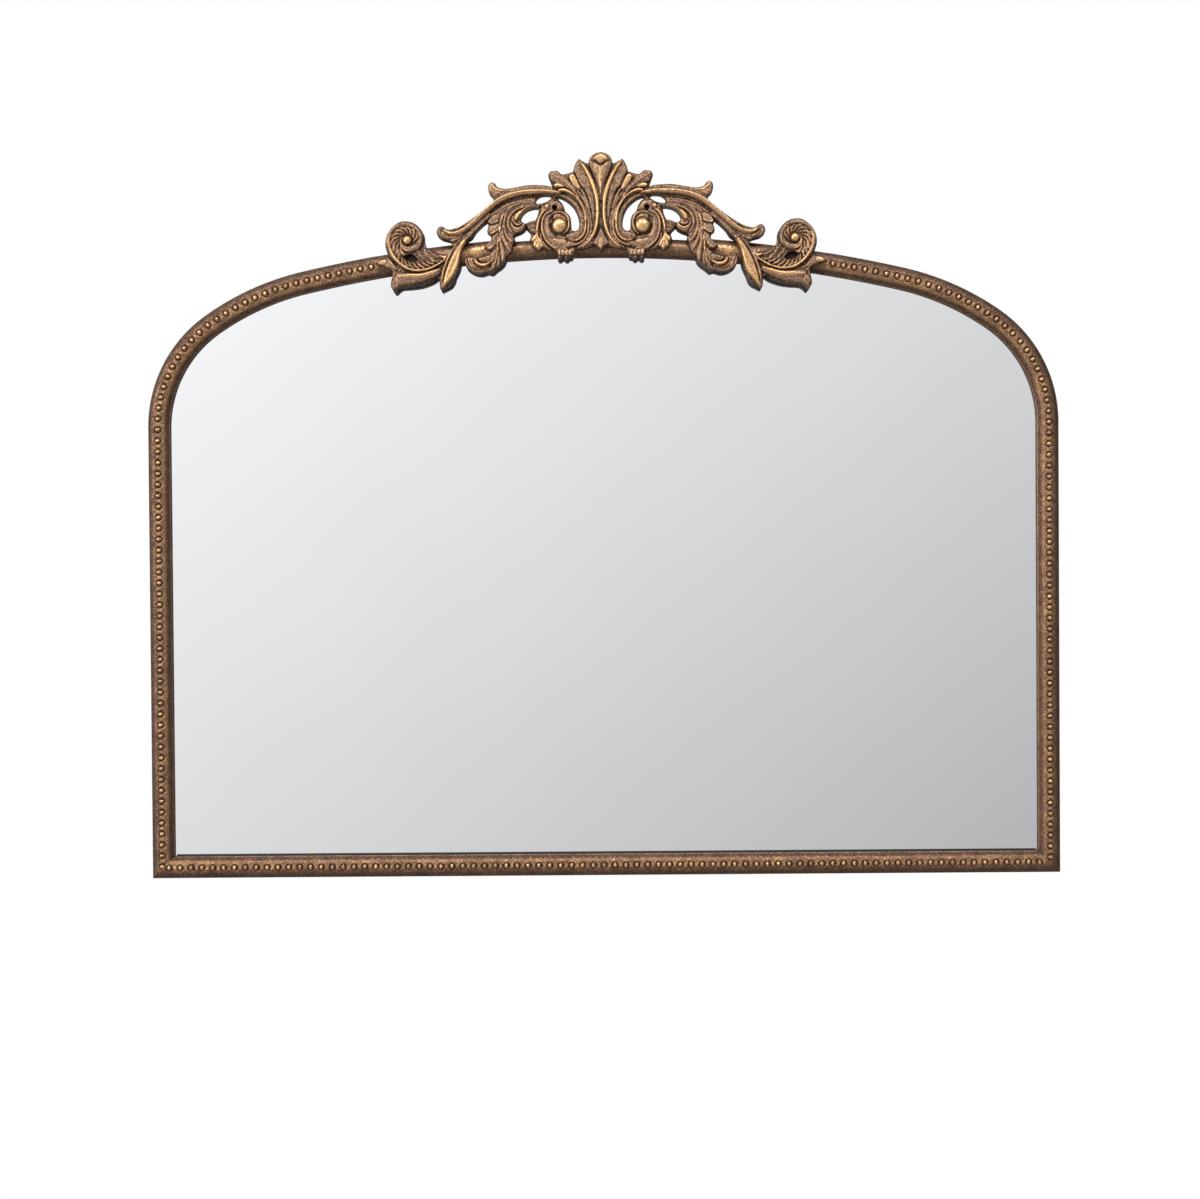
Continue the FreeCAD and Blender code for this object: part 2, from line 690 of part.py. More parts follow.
def ridge(stations_px, rise_share, base_depth):
    """A ridged leaf or scroll that stands on the ground: each station is (px, py, half width in px)."""
    widest = max(width for _, _, width in stations_px)
    sections = []
    for i, (px, py, width) in enumerate(stations_px):
        before = stations_px[max(i - 1, 0)]
        after = stations_px[min(i + 1, len(stations_px) - 1)]
        length = math.hypot(after[0] - before[0], after[1] - before[1])
        side_x = -(after[1] - before[1]) / length * width
        side_y = (after[0] - before[0]) / length * width
        top = crest_relief * rise_share * math.sqrt(width / widest)
        feet = [(px + side_x, py + side_y), (px - side_x, py - side_y)]
        section = [crest_point(px, py, crest_ground_depth + top)]
        if rise_share > low_rise_share:
            shoulder = crest_ground_depth + top * shoulder_share
            section = [crest_point(*feet[0], shoulder)] + section + [crest_point(*feet[1], shoulder)]
        sections.append([crest_point(*feet[0], base_depth)] + section + [crest_point(*feet[1], base_depth)])
    return solid_of(sections)


def boss(px, py, radius_px, rise_share, base_depth):
    """A faceted dome, such as the eye of a volute."""
    sections = []
    for size, lift in boss_shares:
        depth = base_depth if lift < 0 else crest_ground_depth + crest_relief * rise_share * lift
        ring = []
        for i in range(boss_sides):
            turn = 2 * math.pi * i / boss_sides
            ring.append(crest_point(px + radius_px * size * math.cos(turn),
                                    py + radius_px * size * math.sin(turn), depth))
        sections.append(ring)
    return solid_of(sections)


def crest():
    """The crest: one casting with its scrolls and leaves, seated over the plain bar."""
    parts = []
    base = crest_ground_depth - ground_bite
    for name, rise_share, stations in crest_ridges_px:
        base -= ground_bite_step
        piece = ridge(stations, rise_share, base)
        parts.append(piece)
        if name != "axis":
            parts.append(mirrored(piece))
    for px, py, radius, rise_share in crest_bosses_px:
        base -= ground_bite_step
        piece = boss(px, py, radius, rise_share, base)
        parts += [piece, mirrored(piece)]
    body = crest_ground().fuse(parts)
    start = crown_angle(top_bar_half_length)
    seat = swept_arc(lambda place: filled_section(bar_place(place), crest_seat_clearance),
                     (0.0, crown_centre_height), crown_radius, start, math.pi - start)
    holes = crest_screw_holes(moulding_depth + crest_screw_bite + screw_clearance)
    return body.cut([seat] + holes).removeSplitter()


def save(name, shape):
    shape.exportStep(os.path.join("parts", name + ".step"))


def main():
    os.makedirs("parts", exist_ok=True)
    moulding = side_moulding()
    save("side_moulding_right", moulding)
    save("side_moulding_left", mirrored(moulding))
    save("bottom_rail", bottom_rail())
    save("top_bar", top_bar())
    save("corner_angle_right", corner_angle())
    save("corner_angle_left", mirrored(corner_angle()))
    save("mirror_plate", mirror_plate())
    save("setting_strip", setting_strip())
    save("backing_board", backing_board())
    save("board_tabs", board_tabs())
    save("crest", crest())
    crest_sizes = (crest_screw_radius, crest_screw_head_radius, crest_screw_head_height,
                   sheet_thickness + crest_screw_bite)
    save("crest_screws", screws(crest_screw_places(), moulding_depth - sheet_thickness, 1, crest_sizes))
    strap_sizes = (strap_screw_radius, strap_screw_head_radius, strap_screw_head_height,
                   strap_thickness + strap_screw_bite)
    for name, side in (("left", -1), ("right", 1)):
        save("splice_" + name, splice(side))
        save("hanger_strap_" + name, strap(side))
        save("hanger_ring_" + name, hanger_ring(side))
        save("strap_screws_" + name, screws(strap_screw_places(side), board_back - strap_thickness, 1, strap_sizes))
        save("bumper_" + name, bumper(side))
    for name, x in (("left", -foam_strip_spacing), ("middle", 0.0), ("right", foam_strip_spacing)):
        save("foam_strip_" + name, foam_strip(x))


main()
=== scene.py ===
import math

import bmesh
import bpy
import numpy as np
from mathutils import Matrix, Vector
from mathutils.geometry import delaunay_2d_cdt


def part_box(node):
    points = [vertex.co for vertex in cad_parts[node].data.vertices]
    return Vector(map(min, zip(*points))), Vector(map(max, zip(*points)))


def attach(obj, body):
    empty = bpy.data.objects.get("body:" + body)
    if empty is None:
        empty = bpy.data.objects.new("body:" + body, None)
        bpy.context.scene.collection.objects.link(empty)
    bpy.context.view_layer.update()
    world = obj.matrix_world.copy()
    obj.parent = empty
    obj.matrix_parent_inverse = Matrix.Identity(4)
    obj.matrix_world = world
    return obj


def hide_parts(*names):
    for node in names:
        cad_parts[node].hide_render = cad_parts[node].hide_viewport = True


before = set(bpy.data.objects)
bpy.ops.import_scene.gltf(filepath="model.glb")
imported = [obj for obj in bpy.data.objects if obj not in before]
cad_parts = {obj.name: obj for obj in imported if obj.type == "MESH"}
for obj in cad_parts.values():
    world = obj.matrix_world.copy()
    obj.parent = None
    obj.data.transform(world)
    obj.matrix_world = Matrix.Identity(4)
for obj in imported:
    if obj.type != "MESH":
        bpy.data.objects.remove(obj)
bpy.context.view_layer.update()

# The script is in metres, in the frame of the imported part
MM = 0.001

# Outline of the frame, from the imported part
half_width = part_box("bottom_rail")[1].x
hang_height = -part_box("bottom_rail")[0].z
springing_height = 453.0 * MM
shoulder_radius = 137.5 * MM
haunch_radius = 277.0 * MM
shoulder_turn = math.radians(55.0)
haunch_turn = math.radians(22.0)
shoulder_centre = (half_width - shoulder_radius, springing_height)
haunch_centre = (
    shoulder_centre[0] - (haunch_radius - shoulder_radius) * math.cos(shoulder_turn),
    shoulder_centre[1] - (haunch_radius - shoulder_radius) * math.sin(shoulder_turn),
)
crown_start = shoulder_turn + haunch_turn
crown_radius = haunch_radius + haunch_centre[0] / math.cos(crown_start)
crown_centre = (0.0, haunch_centre[1] - (crown_radius - haunch_radius) * math.sin(crown_start))
crown_height = crown_centre[1] + crown_radius

# Rolled moulding. Its ridge stands so far in from the outline and so far forward. Points of its front lie at the
# distances listed from the outer edge and from the lip, close together where it turns down. Between them the middle
# points go on at an even grain. Its hidden side is listed as (across, depth)
moulding_width = 22.0 * MM
sheet = 1.2 * MM
hem_width = 5.0 * MM
outer_wall_depth = 15.0 * MM
inner_wall_depth = 18.0 * MM
lip_depth = 15.8 * MM
ridge = (11.0 * MM, 25.0 * MM)
outer_fullness = 2.5
inner_fullness = 2.2
section_edge_mm = (0.0, 0.03, 0.15, 0.4, 0.8, 1.4, 2.2, 3.2, 4.4, 5.6)
section_lip_mm = (5.4, 4.2, 3.1, 2.2, 1.4, 0.8, 0.4, 0.15, 0.03, 0.0)
section_middle_mm, section_grain_mm, section_middle_count = 6.6, 0.62, 15
hidden_side_mm = [(21.0, 17.0), (19.8, 20.4), (16.5, 22.6), (11.0, 23.7), (6.0, 23.2), (3.4, 21.4), (1.2, 15.0)]
mitre_zone = 24.0 * MM
mitre_rows = 22

# Rub runs from 0, all wash, to 1, all gold, and it also carries painted light and shade. On the moulding it is
# given at distances in mm from the outer edge: it darkens towards the outer edge and lightens on the inner slope as
# painted shading, with a band of painted shade before the lip and a painted highlight on the lip. Then come what the
# sockets' floor, their walls and rims, and the cusps and the gaps in them do to it: painted shade in the sockets and
# the gaps, painted highlights on the rims and the cusps
rub_and_shading_across_mm = (0.0, 1.5, 5.0, 13.0, 17.5, 18.8, 19.6, 21.2, 22.0)
rub_and_shading_across = (0.1, 0.22, 0.32, 0.56, 0.66, 0.28, 0.3, 0.26, 0.5)
socket_shade_rub, socket_wall_shade_rub, socket_rim_highlight_rub = 0.04, 0.2, 0.12
cusp_highlight_rub, cusp_gap_shade_rub = 0.42, -0.34
bar_edge_shade_rub, bar_crown_rub_and_highlight = 0.12, 0.46
hidden_rub = 0.3

# Beads, the sockets round them and the cusps between them. A bead's rub rises with its height, as a share of its
# radius, from the first place and rub to the second: gold on its crown, and darker at its foot as painted shade
bead_rub_and_shade = (0.1, 0.95, 0.2, 0.82)
bead_pitch = 10.95 * MM
bead_inset = 11.4 * MM
bead_size = (5.0 * MM, 6.5 * MM, 5.4 * MM)
bead_seat = 24.3 * MM
rows_to_a_pitch = 10
socket_radius = 3.7 * MM
socket_depth = 1.0 * MM
socket_rim_radius = 4.1 * MM
socket_rim_width = 0.45 * MM
socket_rim_height = 0.12 * MM
cusp_inset = 0.7 * MM
cusp_radius = 0.95 * MM
cusp_height = 0.3 * MM
cusp_gap = 0.2 * MM
cusp_gap_length = 1.3 * MM
cusp_gap_depth = 1.3 * cusp_height

# First bead of each row, and the length left after its last one
left_side_beads = (1.5 * MM, 6.5 * MM)
right_side_beads = (5.0 * MM, 6.5 * MM)
rail_beads = (7.1 * MM, 11.2 * MM)

# Plain bar under the crest. Its outer edge is set in by bar_edge in its waist, and a painted highlight lies on it to
# each side of the middle
bar_half_length = 226.0 * MM
bar_edge = 2.8 * MM
bar_edge_run = 20.0 * MM
bar_waist = 110.0 * MM
bar_top_depth = 25.0 * MM
bar_seat_gap = 0.3 * MM
bar_row_pace = 3.0 * MM
bar_round_steps = 20
highlight_patch_aside = 126.0 * MM
highlight_patch_reach = 11.0 * MM
highlight_patch_gold = 0.42

# Crest casting. Depths are from the wall; px are pixels of the picture, where the crest was traced
crest_half_width = 225.4 * MM
crest_datum_drop = 24.4 * MM
crest_datum_height = crown_height - crest_datum_drop
crest_aside = -0.8 * MM
crest_back_depth = 17.5 * MM
crest_wall_depth = 28.6 * MM
crest_ground_depth = 29.0 * MM
crest_top_depth = 36.4 * MM
crest_wall_step = 0.8 * MM
crest_weld = 0.05 * MM
crest_tip_px = 375.5
crest_axis_px = 600.5
crest_datum_py = 257.0
crest_px_size = crest_half_width / (crest_axis_px - crest_tip_px)
picture_lean_share = 0.00733
lower_edge_rise_px = (1.6, 3.6)
glass_edge_py = (240.0, 270.0)
side_wall_share = 0.002
corner_turn = math.radians(48.0)

# Raster on which the crest is carved, and the grain of the casting's front and back. Points inside stay clear of the
# rims and the axis by shares of the grain
crest_left_px, crest_right_px, crest_top_py, crest_bottom_py = 372.0, 601.2, 148.0, 298.0
crest_grain_px = 0.515
crest_back_grain_px = 2.4
rim_clearance_share, axis_clearance_share = 0.55, 0.5
merge_px = 1e-6
raster_x = np.arange(crest_left_px, crest_right_px, crest_grain_px)
raster_y = np.arange(crest_top_py, crest_bottom_py, crest_grain_px)
raster_shape = (len(raster_y), len(raster_x))
off_axis_px = crest_axis_px - 0.1
tiny = 1e-9

# Carving: heights are shares of the relief, and the ground has a height and a rub
ground_level = (0.14, 0.4)
relief_limits = (-0.45, 1.0)
carving_blur_px = 0.4
fine_blur_px = 1.3
fine_rub = 0.5
outline_pace_px = 1.4
stroke_pace_px = 1.2
stroke_margin_px = 2.0
least_half_width_px = 0.4
edge_round_px = 2.0
leaf_round_px = 3.2
leaf_gold_px = 1.2

# Shares of a piece's own rub: at its edge, and what is added on its crown. A ball has no rub of its own, so for it
# these are the rub. A rib comes near its rub faster than it swells, and a groove darkens with its depth as painted
# shade, up to a most
rod_gold = (0.56, 0.4)
leaf_gold = (0.6, 0.4)
# The casting's rub darkens towards its outline, painted shade where its edge falls away
casting_edge_shading = (0.45, 0.55)
ball_gold = (0.58, 0.24)
rib_gold = 0.94
rib_gold_rise = 1.4
groove_shade_to_depth, groove_shade_most = 4, 0.85
# One rub for the casting's back and for the walls round it; on the walls its darkness is painted shade
back_and_wall_shade_rub = 0.1

# Dark line round what is laid: its width in px, its depth, and the share of the rub that it takes away as painted
# shade
rod_moat = (1.0, 0.1, 0.66)
leaf_moat = (1.0, 0.1, 0.75)
rib_moat = (0.9, 0.04, 0.4)
ball_moat = (1.0, 0.1, 0.55)


def numbers(text):
    """Points from text that has a space between numbers and a comma between points."""
    return [tuple(float(v) for v in place.split()) for place in text.split(",")]


# Outline of the crest's left half, from the top of its axis round to the bottom, and its openings, in px
crest_outline_px = numbers("""
600.5 152.5, 594 154.2, 590 158.2, 588.4 163.6, 586.5 163.4, 583 161.5, 579 159, 576 163, 574 168, 573 172, 566 174,
562 174.5, 557 171, 550.6 171.5, 548.5 175.5, 551.3 183.5, 552 187, 545 185.5, 530 185, 515 187.5, 508 188.5, 503 188.5,
498 187, 495.5 183.6, 491.8 182.2, 489.2 184.8, 488.7 189.5, 489.8 194, 493 198, 495 200.5, 485 209, 475 216.5, 462 225,
452 228.8, 447.5 229, 444.5 226.9, 441.5 225.8, 438.8 227.4, 437.2 231, 438 236, 443 240.5, 451 243, 453 247, 449 255,
440 253, 430 249, 425.5 243, 424.5 234, 419 226, 411 221.5, 401 221.5, 392.2 227.6, 387 236.3, 386 246, 389 257,
383 258, 375.5 263, 379 267, 387 270.5, 393 272.5, 391.6 280, 391 286.5, 394.6 294.3, 400 290, 410 289, 420 287.5,
430 284, 436.5 280, 439.5 281, 440.2 288.5, 441.6 292, 449.5 287.5, 453.5 281.5, 455 277, 459 268, 461 258, 463 250,
467 243, 472 239, 476 233, 482 227, 487.2 223, 489 225.6, 487.6 229.5, 487.6 233, 490.8 236.2, 491 239.5, 489 242,
484 247, 486.5 250.5, 489.5 252.5, 486 254.8, 480 256.6, 476 257.6, 470 256, 465.5 258, 465 264, 468 270, 473.5 274.3,
480 276, 487 274.2, 491.5 275, 495.5 271.4, 500 268, 504 263, 506 258.5, 510.6 254.8, 512.4 250, 513.6 244.5, 516 242.8,
515.4 239.4, 514 236.8, 520 234.5, 524 232, 526 229.5, 529.5 232.5, 531 235.5, 529.7 240, 531.7 243.5, 532.8 248,
538 253, 543 250.8, 550 252, 557 253.6, 557.2 257.8, 559.5 261.4, 563 259, 566.5 261.6, 569 259, 571.4 258.4, 574.6 251,
583 251, 590 248.5, 594 247.5, 600.5 252""")
crest_openings_px = [numbers(opening) for opening in ("""
520.8 218.5, 523.3 214.6, 527.5 211.4, 533 209.6, 538.8 209, 538 214, 535.6 220, 530 221.2, 526 223.2, 522.5 222;
536 200, 541 197, 549 196.5, 552 198, 546 202, 537 204;
557 198.6, 560.5 198.8, 567 202, 573.5 207.8, 577.6 215.5, 579 224, 578 228.6, 575.3 230.6, 572 230.2, 571 226,
571 220.6, 569.4 215.4, 565.4 211.4, 563.6 206, 560.8 201.8""").split(";")]

